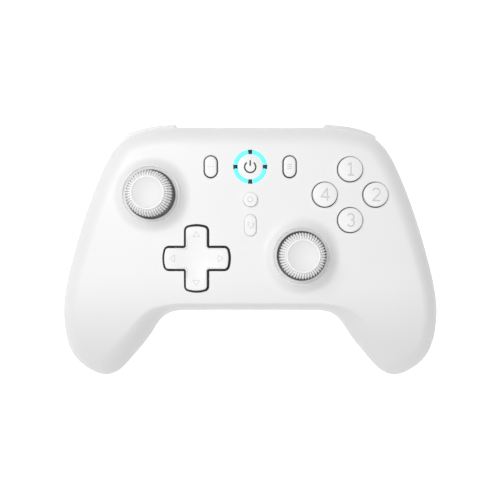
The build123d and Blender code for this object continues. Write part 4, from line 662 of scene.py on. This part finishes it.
cutters = []
for x, y in STICKS.values():
    cutters.append(lathe(
        [(0, CUTTER_FOOT_Z), (RING_SEAT_RADIUS, CUTTER_FOOT_Z), (RING_SEAT_RADIUS, CUTTER_TOP_Z),
         (0, CUTTER_TOP_Z)], (x, y), FINE_STEPS,
    ))
cutters += [round_cutter(FACE_OPENING_RADIUS, x, y) for x, y in FACE_BUTTONS.values()]
cutters += [pill_cutter(MENU_OPENING, x, MENU_ROW_Y) for x in (-MENU_X, MENU_X)]
cutters.append(round_cutter(HOME_OPENING_RADIUS, 0, MENU_ROW_Y, HOME_RIM_SHARE))
cutters.append(round_cutter(CAPTURE_OPENING_RADIUS, 0, CAPTURE_Y, SMALL_RIM_SHARE))
cutters.append(pill_cutter(MODE_OPENING, 0, MODE_Y, SMALL_RIM_SHARE))
cutters.append(stack(pad_line, rim_levels(float(face_z(*PAD)), PAD_GAP, PAD_RIM_SHARE), 2, PAD))

STATIONS, ROWS = ((301, 151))
front = make("front_cover_skin", shell(front_z, STATIONS, ROWS), "body", "shell_white", ["front_cover"],
             COVER_SHARP_DEG)
carve(front, joined(*cutters), COVER_SHARP_DEG)

# The back cover: screw wells, the charging slot, the trigger pockets' mouths and the shoulder openings
SCREWS = [(-62.0, 10.0), (62.0, 10.0), (-61.0, -38.0), (61.0, -38.0), (-1.5, -16.0)]
WELL_TOP_Z = 17.0
WELL_FLOOR_Z = 15.2
WELL_RADIUS = 3.0
WELL_TUBE_RADIUS = 3.7
WELL_CUT_Z = -2.0
WELL_FOOT_SHARE = 0.4
WELL_RIM = 0.1
# The well's mouth: radii, and heights beside the skin
WELL_MOUTH = [(3.9, -0.3), (3.3, 0.15), (3.0, 0.6)]
SCREW_HOLE_RADIUS = 1.35
USB_HALF_WIDTH = 4.8
USB_Z = (28.2, 32.0)
USB_Y = (44.0, 52.0)
USB_ROUND = 1.7
POCKET_X = (33.4, 45.6)
POCKET_Y = (40.5, 54.0)
POCKET_CUT_Z = 2.0
POCKET_TOP_Z = 21.8
POCKET_BACK_Y = 31.6
POCKET_WALL = 1.4
POCKET_SIDE_ENDS_Y = (46.0, 44.5)
POCKET_OVERLAP = 0.2
# Where the pocket's back wall meets the skin
POCKET_WALL_FOOT = (40.0, 32.0)
SHELF_TOP_Z = 23.0
SHOULDER_TOP_Z = 36.0
BUMPER_X = (30.4, 51.6)
# Bands along the far edge: how far they reach out of it and in, and their gap at the bumper's ends
SHOULDER_BAND = (3.0, -3.7, 0.4)
SHELF_BAND = (-1.9, -12.0, -0.2)
BAND_STATIONS = 28
WALL_STATIONS = 12


def edge_y(x, offset=0.0):
    """Where the body's far edge, pushed out by the offset, lies at x."""
    step = np.gradient(OUTER_EDGE, axis=0)
    step /= np.hypot(*step.T)[:, None]
    pushed = OUTER_EDGE + offset * np.stack([-step[:, 1], step[:, 0]], axis=1)
    return float(np.interp(x, pushed[:, 0], pushed[:, 1]))


def band(outer, inner, gap, low, high):
    """A curved bar along the far edge, between two heights."""
    rings = []
    for x in np.linspace(BUMPER_X[0] - gap, BUMPER_X[1] + gap, BAND_STATIONS):
        near, far = edge_y(x, inner), edge_y(x, outer)
        rings.append([(x, near, low), (x, far, low), (x, far, high), (x, near, high)])
    return swept(rings)


def skin_z(x, y):
    return float(back_z(np.array([x]), np.array([y]))[0])


back_cutters = []
for x, y in SCREWS:
    well_mouth = [(radius, skin_z(x, y) + up) for radius, up in WELL_MOUTH]
    back_cutters.append(lathe(
        [(0, WELL_CUT_Z), (WELL_MOUTH[0][0], WELL_CUT_Z)] + well_mouth
        + [(WELL_RADIUS, WELL_TOP_Z), (0, WELL_TOP_Z)], (x, y), COARSE_STEPS,
    ))
usb_profile = eased_corners([
    (-USB_HALF_WIDTH, USB_Z[0]), (USB_HALF_WIDTH, USB_Z[0]), (USB_HALF_WIDTH, USB_Z[1]),
    (-USB_HALF_WIDTH, USB_Z[1]),
], USB_ROUND, 8)
back_cutters.append(swept([[(x, y, z) for x, z in usb_profile] for y in USB_Y]))
pocket_mouth = box(*POCKET_X, *POCKET_Y, POCKET_CUT_Z, POCKET_TOP_Z)
shoulder_opening = band(*SHOULDER_BAND, SHELF_TOP_Z, SHOULDER_TOP_Z)
for cut in (pocket_mouth, shoulder_opening):
    back_cutters += [cut, mirrored(cut)]
back = make("back_cover_skin", shell(back_z, STATIONS, ROWS), "body", "shell_white", ["back_cover"],
            COVER_SHARP_DEG)
carve(back, joined(*back_cutters), COVER_SHARP_DEG)

# What shows inside the wells and pockets
wells = []
for x, y in SCREWS:
    points, faces = lathe(
        [(WELL_RADIUS, 0), (WELL_TUBE_RADIUS, 0), (WELL_TUBE_RADIUS, WELL_TOP_Z),
         (SCREW_HOLE_RADIUS, WELL_TOP_Z), (SCREW_HOLE_RADIUS, WELL_FLOOR_Z), (WELL_RADIUS, WELL_FLOOR_Z)],
        (x, y), COARSE_STEPS,
    )
    # The tube's foot follows the skin and stays inside it, also on the steep sides of the grips
    foot = points[:2 * COARSE_STEPS]
    foot[:, 2] = np.minimum(back_z(foot[:, 0], foot[:, 1]) + WALL * WELL_FOOT_SHARE, WELL_TOP_Z - WELL_RIM)
    wells.append((points, faces))
make("screw_wells", joined(*wells), "body", "shell_white")


def pocket():
    """The lining of a trigger pocket and the shelf over it, kept inside the back cover's skin."""
    near_x, far_x = POCKET_X
    sheets = []
    for x0, end_y in zip((near_x - POCKET_WALL, far_x), POCKET_SIDE_ENDS_Y):
        x1 = x0 + POCKET_WALL
        rings = []
        for y in np.linspace(POCKET_BACK_Y, end_y, WALL_STATIONS):
            low = min(skin_z((x0 + x1) / 2, y) + WALL / 2, POCKET_TOP_Z - POCKET_OVERLAP)
            rings.append([(x0, y, low), (x1, y, low), (x1, y, POCKET_TOP_Z), (x0, y, POCKET_TOP_Z)])
        sheets.append(swept(rings))
    low = skin_z(*POCKET_WALL_FOOT) + WALL / 2
    sheets.append(box(near_x, far_x, POCKET_BACK_Y, POCKET_BACK_Y + POCKET_WALL, low, POCKET_TOP_Z))
    sheets.append(band(*SHELF_BAND, POCKET_TOP_Z, SHELF_TOP_Z))
    return joined(*sheets)


right_pocket = pocket()
make("right_pocket", right_pocket, "body", "shell_white")
make("left_pocket", mirrored(right_pocket), "body", "shell_white")

# Sticks
CAP_RISE = 22.2
CAP_TOP = STICK_PIVOT_Z + CAP_RISE
RIB_DEPTH = 0.55
RIB_FADES = (0.3, 0.4)
RIB_STEPS = 10
RIB_START_RADIUS = 6.3
RIB_TOP_Z, RIB_FOOT_Z = CAP_TOP - 1.05, CAP_TOP - 5.5
DISH_RADIUS = 5.7
DISH_DEPTH = 1.3
DISH_FLOOR = -1.55
# The cap's outline under the dish: radii, and heights beside the cap's top
CAP_RIM = [
    (5.8, -0.14), (5.88, -0.05), (5.96, -0.01), (6.05, 0.0), (6.18, 0.0), (6.28, -0.03), (6.36, -0.12),
    (6.42, -0.3), (6.46, -0.7),
]
SKIRT_CENTRE = (6.2, -5.35)
SKIRT_RADII = (2.15, 4.25)
SKIRT_DEG = (8, 86)
CAP_UNDER = [(8.35, -5.6), (8.22, -5.78), (7.2, -5.45), (5.6, -6.0), (4.2, -6.6), (4.2, -8.9), (0.0, -8.9)]
DOME_RADIUS = 14.1
DOME_WALL = 1.0
DOME_DEG = 61.5
# The ring's outline: radii, and heights beside the top of the soft rise; then the rounding of each corner
RING_LINE = [
    (9.5, -1.0), (10.4, -1.0), (10.4, 0.02), (11.4, 0.02), (11.4, 0.65), (10.86, 0.65), (10.78, 0.23),
    (10.42, 0.23), (10.34, 0.49), (9.7, 0.45), (9.5, 0.05),
]
RING_ROUNDINGS = [0.05, 0.05, 0, 0, 0.26, 0.2, 0.05, 0.05, 0.06, 0.12, 0.1]
# Where the cap's painted shade lies, in its dish and between its ribs, and where the ring's crest takes a
# painted highlight
DISH_SHADE_RADIUS, DISH_SHADE_DEPTH = 5.75, 1.7
GROOVE_SHADE_RADIUS, GROOVE_SHADE_DEPTH, GROOVE_SHADE_COSINE = 6.5, 5.3, -0.3
RING_HIGHLIGHT_RADIUS = 10.82


def rib_depth(radius, z):
    """How far the ribs stand out: along the sloping skirt, fading at its two ends, and not in the dish."""
    fading = eased((RIB_TOP_Z - z) / RIB_FADES[0]) * eased((z - RIB_FOOT_Z) / RIB_FADES[1])
    return RIB_DEPTH * (radius > RIB_START_RADIUS) * fading


def stick_cap(x, y):
    """The dished thumb top with its bright rim, the ribbed skirt and the neck."""
    dish = [(r, DISH_FLOOR + DISH_DEPTH * (r / DISH_RADIUS) ** 2) for r in np.linspace(0, DISH_RADIUS, 12)]
    (across, up), (width, height) = SKIRT_CENTRE, SKIRT_RADII
    skirt = [(across + width * math.sin(a), up + height * math.cos(a))
             for a in np.radians(np.linspace(*SKIRT_DEG, 26))]
    profile = [(r, CAP_TOP + z) for r, z in dish + CAP_RIM + skirt + CAP_UNDER]
    return lathe(profile, (x, y), RIBS * RIB_STEPS, rib_depth)


def stick_dome(x, y):
    """The dark bowl under the cap that closes the opening in the face."""
    inside = DOME_RADIUS - DOME_WALL
    outer = [(DOME_RADIUS * math.sin(a), DOME_RADIUS * math.cos(a))
             for a in np.radians(np.linspace(0, DOME_DEG, 30))]
    inner = [(inside * math.sin(a), inside * math.cos(a)) for a in np.radians(np.linspace(DOME_DEG, 0, 20))]
    return lathe([(r, STICK_PIVOT_Z + z) for r, z in outer + inner], (x, y), FINE_STEPS)


def stick_ring(x, y):
    """The raised ring round the opening, with a fine groove in its top."""
    profile = eased_corners([(r, MOUND_TOP_Z + z) for r, z in RING_LINE], RING_ROUNDINGS, 5)
    return lathe(profile, (x, y), 2 * ROUND_STEPS)


for side, (x, y) in STICKS.items():
    cap = make(f"{side}_cap_skin", stick_cap(x, y), f"{side}_stick", "cap_white", [f"{side}_stick_cap"],
               CAP_SHARP_DEG)
    # The dish gets a darker copy of the cap's finish: painted shade in the hollow, so the rim stands out
    # brighter
    cap.data.materials.append(finishes["cap_rubber"])
    # The faces between the ribs get a darker finish still: painted shade in the grooves
    cap.data.materials.append(finishes["cap_groove_shade"])
    for face in cap.data.polygons:
        middle = face.center / MM
        away = math.hypot(middle.x - x, middle.y - y)
        turn = math.atan2(middle.y - y, middle.x - x)
        if middle.z > CAP_TOP - DISH_SHADE_DEPTH and away < DISH_SHADE_RADIUS:
            face.material_index = 1
        elif (away > GROOVE_SHADE_RADIUS and middle.z > CAP_TOP - GROOVE_SHADE_DEPTH
              and math.cos(RIBS * turn) < GROOVE_SHADE_COSINE):
            face.material_index = 2
    make(f"{side}_dome_skin", stick_dome(x, y), f"{side}_stick", "dome_dark")
    ring = make(f"{side}_ring_skin", stick_ring(x, y), "body", "ring_pale", [f"{side}_stick_ring"],
                ROUND_SHARP_DEG)
    # The ring's outer crest is painted in the lighter shell finish: a painted highlight on the pale grey
    # ring
    ring.data.materials.append(finishes["shell_white"])
    for face in ring.data.polygons:
        middle = face.center / MM
        if math.hypot(middle.x - x, middle.y - y) > RING_HIGHLIGHT_RADIUS:
            face.material_index = 1

# Buttons
CROWN_RADIUS = 26.0
CROWN_POINTS = 14
FLANGE_TOP_Z = 40.7
FLANGE = 1.0
STEM_RADIUS = 2.0
STEM_FOOT_Z = 34.0
BUTTON_ROUNDINGS = [0.1, 0.15, 0.15, 0.1, 0.3, 0]
# Each round button: its radius, how far it stands out, and the rounding of its edge
FACE_BUTTON = (4.7, 1.7, 0.5)
HOME_BUTTON = (4.99, 0.55, 0.4)
CAPTURE_BUTTON = (2.74, 1.3, 0.6)


def crown_z(radius, top):
    return top - CROWN_RADIUS + math.sqrt(CROWN_RADIUS**2 - radius**2)


def round_button(radius, proud, rounding, x, y):
    top = float(face_z(x, y)) + proud
    crown = [(r, crown_z(r, top)) for r in np.linspace(0, radius - 0.001, CROWN_POINTS)]
    crown[-1] = (radius, crown[-1][1])
    low = FLANGE_TOP_Z - FLANGE
    side = [
        (radius, FLANGE_TOP_Z), (radius + FLANGE, FLANGE_TOP_Z), (radius + FLANGE, low), (STEM_RADIUS, low),
        (STEM_RADIUS, STEM_FOOT_Z), (0, STEM_FOOT_Z),
    ]
    radii = [0.0] * (CROWN_POINTS - 1) + [rounding] + BUTTON_ROUNDINGS
    return lathe(eased_corners(crown + side, radii, closed=False), (x, y))


def on_dome(points, x, y, top, sink, step=0.3):
    """A stroke laid over a domed top: each point sits on the dome, sunk a little."""
    found = []
    for (ax, ay), (bx, by) in zip(points, points[1:]):
        count = max(2, int(math.hypot(bx - ax, by - ay) / step))
        for k in range(count):
            found.append((ax + (bx - ax) * k / count, ay + (by - ay) * k / count))
    found.append(points[-1])
    return [(x + px, y + py, crown_z(math.hypot(px, py), top) - sink) for px, py in found]


DIGITS = {
    "north": [[(-1.0, 1.45), (0.1, 2.35), (0.1, -2.35)], [(-1.1, -2.35), (1.3, -2.35)]],
    "east": [arc((0, 0.95), 1.4, 160, -35, 14) + [(-1.45, -2.35), (1.5, -2.35)]],
    "south": [arc((0, 1.12), 1.23, 150, -75, 14) + arc((0, -1.06), 1.34, 75, -150, 14)],
    "west": [[(0.85, -2.35), (0.85, 2.35), (-1.55, -1.0), (1.7, -1.0)]],
}
DIGIT_RADIUS, DIGIT_SINK = 0.47, 0.36
POWER_LINES = [arc((0, -0.15), 2.15, 128, 412, 48), [(0, 0.3), (0, 2.45)]]
POWER_RADIUS, POWER_SINK = 0.36, 0.2
CIRCLE = arc((0, 0), 0.95, 0, 360, 33)
CIRCLE_RADIUS, CIRCLE_SINK = 0.2, 0.14
for name, (x, y) in FACE_BUTTONS.items():
    body = f"button_{name}"
    make(f"{body}_skin", round_button(*FACE_BUTTON, x, y), body, "button_white", [body], ROUND_SHARP_DEG)
    top = float(face_z(x, y)) + FACE_BUTTON[1]
    lines = [on_dome(line, x, y, top, DIGIT_SINK) for line in DIGITS[name]]
    stroke(f"{body}_mark", lines, DIGIT_RADIUS, body, "mark_grey")

make("home_button_skin", round_button(*HOME_BUTTON, 0, MENU_ROW_Y), "home_button", "button_white",
     ["home_button"], ROUND_SHARP_DEG)
lines = [on_dome(line, 0, MENU_ROW_Y, FACE_Z + HOME_BUTTON[1], POWER_SINK) for line in POWER_LINES]
stroke("home_button_mark", lines, POWER_RADIUS, "home_button", "mark_dark")
make("capture_button_skin", round_button(*CAPTURE_BUTTON, 0, CAPTURE_Y), "capture_button", "button_white",
     ["capture_button"], ROUND_SHARP_DEG)
lines = [on_dome(CIRCLE, 0, CAPTURE_Y, FACE_Z + CAPTURE_BUTTON[1], CIRCLE_SINK)]
stroke("capture_button_mark", lines, CIRCLE_RADIUS, "capture_button", "mark_grey")

# Each long button: its width, its length, how far it stands out, and its place
PILLS = {
    "select_button": (4.6, 8.0, 0.9, -MENU_X, MENU_ROW_Y),
    "start_button": (4.6, 8.0, 0.9, MENU_X, MENU_ROW_Y),
    "mode_button": (4.72, 8.42, 1.0, 0.0, MODE_Y),
}
PILL_STEM_INSET = 0.8
PILL_FLANGE_FOOT_Z = 39.7
PILL_ROUND, PILL_DROP = 0.5, 0.4
PILL_CROWN = 0.11
MARK_SINK = 0.1
MARK_RADIUS = 0.17
DOT_RADIUS = 0.22
# Dots, bars and dashes, round the middle of their button
DOTS_X = (-1.0, 0, 1.0)
BARS = [[(-0.95, dy), (0.95, dy)] for dy in (-0.75, 0, 0.75)]
DASHES = [[(-1.1, dy), (-0.2, dy)] for dy in (0.95, 0.1)] + [arc((0.0, 0.2), 1.25, 40, -100, 16)]


def pill_button(width, length, proud, x, y):
    top = float(face_z(x, y)) + proud
    levels = [(-PILL_STEM_INSET, STEM_FOOT_Z), (-PILL_STEM_INSET, PILL_FLANGE_FOOT_Z)]
    levels += [(FLANGE, PILL_FLANGE_FOOT_Z), (FLANGE, FLANGE_TOP_Z), (0.0, FLANGE_TOP_Z)]
    levels += [(-PILL_ROUND + PILL_ROUND * math.cos(a), top - PILL_ROUND + PILL_DROP * math.sin(a))
               for a in np.radians([0, 20, 40, 60, 80])]

    def crowned(px, py):
        away = np.hypot(px - x, np.maximum(np.abs(py - y) - (length - width) / 2, 0))
        return top - PILL_CROWN + PILL_CROWN * np.clip(1 - (away / (width / 2)) ** 2, 0, 1)

    return stack(pill_outline(width, length, x, y), levels, 8, (x, y), crowned)


def pill_place(name):
    """The middle of a long button's top."""
    _, _, proud, x, y = PILLS[name]
    return x, y, float(face_z(x, y)) + proud


def flat_line(points, name):
    x, y, z = pill_place(name)
    return [(x + px, y + py, z - MARK_SINK) for px, py in points]


def dot(x, y, z):
    side = [(DOT_RADIUS, -DOT_RADIUS), (DOT_RADIUS, 0), (DOT_RADIUS * 0.7, 0.06)]
    profile = [(0, -DOT_RADIUS)] + side + [(0, 0.08)]
    return lathe([(r, z + up) for r, up in profile], (x, y), SMALL_STEPS)


for name, sizes in PILLS.items():
    make(f"{name}_skin", pill_button(*sizes), name, "button_white", [name], BAR_SHARP_DEG)
x, y, z = pill_place("select_button")
make("select_button_mark", joined(*[dot(x + dx, y, z) for dx in DOTS_X]), "select_button", "mark_grey")
for name, marks in (("start_button", BARS), ("mode_button", DASHES)):
    stroke(f"{name}_mark", [flat_line(p, name) for p in marks], MARK_RADIUS, name, "mark_grey")

# The light ring round the home button
RING_TOP = FACE_Z + 0.15
RING_FOOT_Z = 42.5
RING_RADII = (5.12, 6.5)
RING_BASE_RADIUS = 6.7
RING_EDGE = 0.12
LIGHT_DEPTH = 1.0
LIGHT_GAP_DEG = 0.3
DIVIDER_HALF_WIDTH = 0.8
DIVIDER_MIDDLE_RADIUS = 5.8
DIVIDER_DEG = math.degrees(DIVIDER_HALF_WIDTH / DIVIDER_MIDDLE_RADIUS)
DIVIDER_PROUD = 0.02
BASE_GAP = 0.05
BASE_TOP_Z = FACE_Z - LIGHT_DEPTH - BASE_GAP


def ring_sector(start, end, low, high, steps):
    """A closed arc of a square-edged ring with a slightly rounded top."""
    inner, outer = RING_RADII
    profile = [(inner, low), (outer, low), (outer, high - RING_EDGE), (outer - RING_EDGE, high),
               (inner + RING_EDGE, high), (inner, high - RING_EDGE)]
    return swept([[(r * math.cos(a), MENU_ROW_Y + r * math.sin(a), z) for r, z in profile]
                  for a in np.radians(np.linspace(start, end, steps))])


lights, dividers = [], []
for start in (0, 90, 180, 270):
    clear = DIVIDER_DEG + LIGHT_GAP_DEG
    lights.append(ring_sector(start + clear, start + 90 - clear, FACE_Z - LIGHT_DEPTH, RING_TOP, 24))
    dividers.append(ring_sector(start - DIVIDER_DEG, start + DIVIDER_DEG, RING_FOOT_Z,
                                RING_TOP + DIVIDER_PROUD, 7))
make("home_light_skin", joined(*lights), "body", "light_cyan", ["home_light_ring"], ROUND_SHARP_DEG)
seat = lathe([(RING_RADII[0], RING_FOOT_Z), (RING_BASE_RADIUS, RING_FOOT_Z), (RING_BASE_RADIUS, BASE_TOP_Z),
              (RING_RADII[0], BASE_TOP_Z)], (0, MENU_ROW_Y))
make("home_base_skin", joined(seat, *dividers), "body", "frame_dark", ["home_ring_base"], ROUND_SHARP_DEG)

# Direction pad
PAD_TOP = FACE_Z + 1.4
PAD_DISH_DEPTH = 1.35
PAD_DISH_REACH = 10.2
PAD_FOOT_Z = 39.64
PAD_ROUND, PAD_DROP, PAD_SHOULDER = 0.45, 0.42, 0.5
PAD_BLEND = 0.1
PAD_FLANGE_RADII = (3.0, 10.5)
PAD_FLANGE_Z = (38.94, 39.94)
PAD_PIN_REACH = 8.4
PAD_PIN_RADIUS = 1.5
PAD_PIN_TOP_Z = 39.4
ARROW = [(8.5, -1.35), (10.5, 0.0), (8.5, 1.35)]
ARROW_PARTS = 8
ARROW_SINK = 0.03
ARROW_RADIUS = 0.1


def pad_top(x, y):
    """The dished top: a shallow bowl that fades out towards the ends of the arms."""
    reach = np.hypot(x - PAD[0], y - PAD[1])
    dish = PAD_TOP - PAD_DISH_DEPTH * (1 - np.clip(reach / PAD_DISH_REACH, 0, 1) ** 2) ** 1.5
    return soft_min(dish, PAD_TOP, PAD_BLEND)


def pad_cross():
    """The cross with its round flange, and the pins that press the switches."""
    levels = [(0.0, PAD_FOOT_Z)]
    levels += [(-PAD_ROUND + PAD_ROUND * math.cos(a), PAD_TOP - PAD_SHOULDER + PAD_DROP * math.sin(a))
               for a in np.radians([0, 18, 36, 54, 72, 88])]
    cross = stack(pad_line, levels, 26, PAD, pad_top)
    (inner, outer), (low, high) = PAD_FLANGE_RADII, PAD_FLANGE_Z
    flange = lathe([(inner, low), (outer, low), (outer, high), (inner, high)], PAD, COARSE_STEPS)
    pins = []
    for c, s in QUARTER_TURNS:
        at = (PAD[0] + PAD_PIN_REACH * c, PAD[1] + PAD_PIN_REACH * s)
        pins.append(lathe([(0, STEM_FOOT_Z), (PAD_PIN_RADIUS, STEM_FOOT_Z), (PAD_PIN_RADIUS, PAD_PIN_TOP_Z),
                           (0, PAD_PIN_TOP_Z)], at, SMALL_STEPS))
    return joined(cross, flange, *pins)


make("pad_skin", pad_cross(), "pad", "button_white", ["pad_cross"])
arrows = []
for c, s in QUARTER_TURNS:
    line = []
    for (ax, ay), (bx, by) in zip(ARROW, ARROW[1:] + ARROW[:1]):
        for k in range(ARROW_PARTS):
            px, py = ax + (bx - ax) * k / ARROW_PARTS, ay + (by - ay) * k / ARROW_PARTS
            at = (PAD[0] + c * px - s * py, PAD[1] + s * px + c * py)
            line.append((*at, float(pad_top(np.array(at[0]), np.array(at[1]))) - ARROW_SINK))
    arrows.append(line)
stroke("pad_marks", arrows, ARROW_RADIUS, "pad", "mark_grey", closed=True)

# Shoulder buttons and triggers
BUMPER_LOW, BUMPER_HIGH = 23.6, 32.4
BUMPER_PROUD = 1.8
BUMPER_DEPTH = 2.6
BUMPER_ROUND = 0.5
BUMPER_EVEN_X = (31.5, 50.5)
BUMPER_ROUNDINGS = [0.2, 0.8, 0.8, 0.2]
BUMPER_PIVOT = (33.5, 43.0)
BUMPER_ARM = (31.9, 35.1, 43.0, 47.2)
BUMPER_ARM_INSET = 1.2
BUMPER_BOSS_RADII = (1.06, 2.3)
BUMPER_PUSHER = (44.0, 47.0, 41.95, 46.0, 26.5, 29.5)
TRIGGER_X = (33.0, 52.0)
TRIGGER_EVEN_X = (34.5, 50.5)
TRIGGER_END = 0.9
TRIGGER_END_SHARE = 0.15
TRIGGER_ARM_GAP = 0.6
TRIGGER_PIVOT_Y, TRIGGER_PIVOT_Z = 38.0, 18.2
TRIGGER_BOSS_RADIUS = 2.5
TRIGGER_ARM_X = (34.0, 45.0)
TRIGGER_ARM_Z = (16.0, 20.5)
TRIGGER_TAIL = (35.0, 39.0, 33.8, 38.0, 16.9, 19.5)
# The trigger's section: how far out of the body's edge, and how far over the pivot
TRIGGER_PROFILE = [
    (-0.3, 4.0), (0.8, 3.7), (1.7, -0.5), (2.4, -5.5), (2.9, -10.0), (3.0, -12.6),
    (1.7, -13.3), (0.9, -9.5), (-0.4, -5.5), (-1.3, -2.4), (-1.3, 0.6),
]


def bumper():
    """The curved bar with rounded edges, its hinge arm and its pusher."""
    start, end = BUMPER_X
    turns = [(BUMPER_ROUND * (1 - math.cos(t)), BUMPER_ROUND * (1 - math.sin(t)))
             for t in np.radians(np.linspace(0, 90, 6))]
    places = [(start + along, inset) for along, inset in turns]
    places += [(x, 0.0) for x in np.linspace(*BUMPER_EVEN_X, 36)]
    places += [(end - along, inset) for along, inset in turns[::-1]]
    rings = []
    for x, inset in places:
        near, far = edge_y(x, -BUMPER_DEPTH) + inset, edge_y(x, BUMPER_PROUD) - inset
        low, high = BUMPER_LOW + inset, BUMPER_HIGH - inset
        ring = eased_corners([(near, low), (far, low), (far, high), (near, high)], BUMPER_ROUNDINGS, 5)
        rings.append([(x, y, z) for y, z in ring])
    low, high = BUMPER_LOW + BUMPER_ARM_INSET, BUMPER_HIGH - BUMPER_ARM_INSET
    bore, outer = BUMPER_BOSS_RADII
    boss = lathe([(bore, low), (outer, low), (outer, high), (bore, high)], BUMPER_PIVOT, BOSS_STEPS)
    return joined(swept(rings), box(*BUMPER_ARM, low, high), boss, box(*BUMPER_PUSHER))


def periodic(points, samples):
    """A closed smooth curve through the points."""
    count = len(points)
    steps = np.linspace(0, count, samples, endpoint=False)
    i = steps.astype(int)
    u = (steps - i)[:, None]
    p0, p1, p2, p3 = (points[(i + k) % count] for k in (-1, 0, 1, 2))
    square, cube = 2 * p0 - 5 * p1 + 4 * p2 - p3, 3 * p1 - p0 - 3 * p2 + p3
    return 0.5 * (2 * p1 + (p2 - p0) * u + square * u**2 + cube * u**3)


def trigger():
    """The finger lever, swept along the body's far edge with rounded ends, its arm, boss and tail."""
    section = periodic(np.array(TRIGGER_PROFILE), 72)
    middle = section.mean(0)
    turns = np.radians(np.linspace(0, 90, 8))
    ends = [(TRIGGER_X[0] + TRIGGER_END * (1 - math.cos(t)), 1 - TRIGGER_END_SHARE * (1 - math.sin(t)))
            for t in turns]
    places = ends + [(x, 1.0) for x in np.linspace(*TRIGGER_EVEN_X, 24)]
    places += [(sum(TRIGGER_X) - x, size) for x, size in ends[::-1]]
    rings = []
    for x, size in places:
        ring = middle + (section - middle) * size
        rings.append([(x, edge_y(x) + out, TRIGGER_PIVOT_Z + up) for out, up in ring])
    reach = min(edge_y(x) for x in np.linspace(*TRIGGER_ARM_X, 6)) - TRIGGER_ARM_GAP
    arm = box(*TRIGGER_ARM_X, TRIGGER_PIVOT_Y, reach, *TRIGGER_ARM_Z)
    circle = arc((TRIGGER_PIVOT_Y, TRIGGER_PIVOT_Z), TRIGGER_BOSS_RADIUS, 0, 360, BOSS_STEPS + 1)[:-1]
    boss = swept([[(x, y, z) for y, z in circle] for x in TRIGGER_ARM_X])
    return joined(swept(rings), arm, boss, box(*TRIGGER_TAIL))


shoulder_pieces = (("bumper", bumper(), SHARP_DEG), ("trigger", trigger(), BAR_SHARP_DEG))
for side in ("right", "left"):
    for kind, shape, sharp in shoulder_pieces:
        name = f"{side}_{kind}"
        sided = shape if side == "right" else mirrored(shape)
        make(f"{name}_skin", sided, name, "button_white", [name], sharp)

# Carried-over solids get smooth shading
for node in frame["nodes"].values():
    smoothed(node.data, CARRIED_SHARP_DEG)

# Floor and light, in metres
FLOOR_REACH = 4
FLOOR_Z = -0.00005
WORLD_STRENGTH = 0.46
LAMP_TARGET = (0, 0, 0.04)
floor_mesh = bpy.data.meshes.new("floor")
floor_mesh.from_pydata([(-FLOOR_REACH, -FLOOR_REACH, 0), (FLOOR_REACH, -FLOOR_REACH, 0),
                        (FLOOR_REACH, FLOOR_REACH, 0), (-FLOOR_REACH, FLOOR_REACH, 0)], [], [(0, 1, 2, 3)])
floor = placed("floor", floor_mesh)
floor.location.z = FLOOR_Z
floor_white = surface("floor_white", (0.9, 0.9, 0.9), 0.9, 60, 0.02, 0.01, glow=1.0)
floor_white.node_tree.nodes["Principled BSDF"].inputs["Specular IOR Level"].default_value = 0
floor_mesh.materials.append(floor_white)
# The floor is seen white and doesn't light the underside, so the edges shade as in the photograph.
floor.visible_diffuse = False

world = bpy.data.worlds.new("world")
world.use_nodes = True
world.node_tree.nodes["Background"].inputs["Color"].default_value = (1, 1, 1, 1)
world.node_tree.nodes["Background"].inputs["Strength"].default_value = WORLD_STRENGTH
bpy.context.scene.world = world


def lamp(name, place, size, watts):
    light = bpy.data.lights.new(name, "AREA")
    light.shape = "DISK"
    light.size = size
    light.energy = watts
    obj = placed(name, light)
    obj.location = place
    obj.rotation_euler = (Vector(LAMP_TARGET) - Vector(place)).to_track_quat("-Z", "Y").to_euler()


lamp("key", (-0.18, 0.16, 0.40), 0.18, 0.56)
lamp("overhead", (-0.10, -0.16, 0.85), 0.9, 2.9)
bpy.context.scene.view_settings.view_transform = "Standard"

bpy.context.view_layer.update()
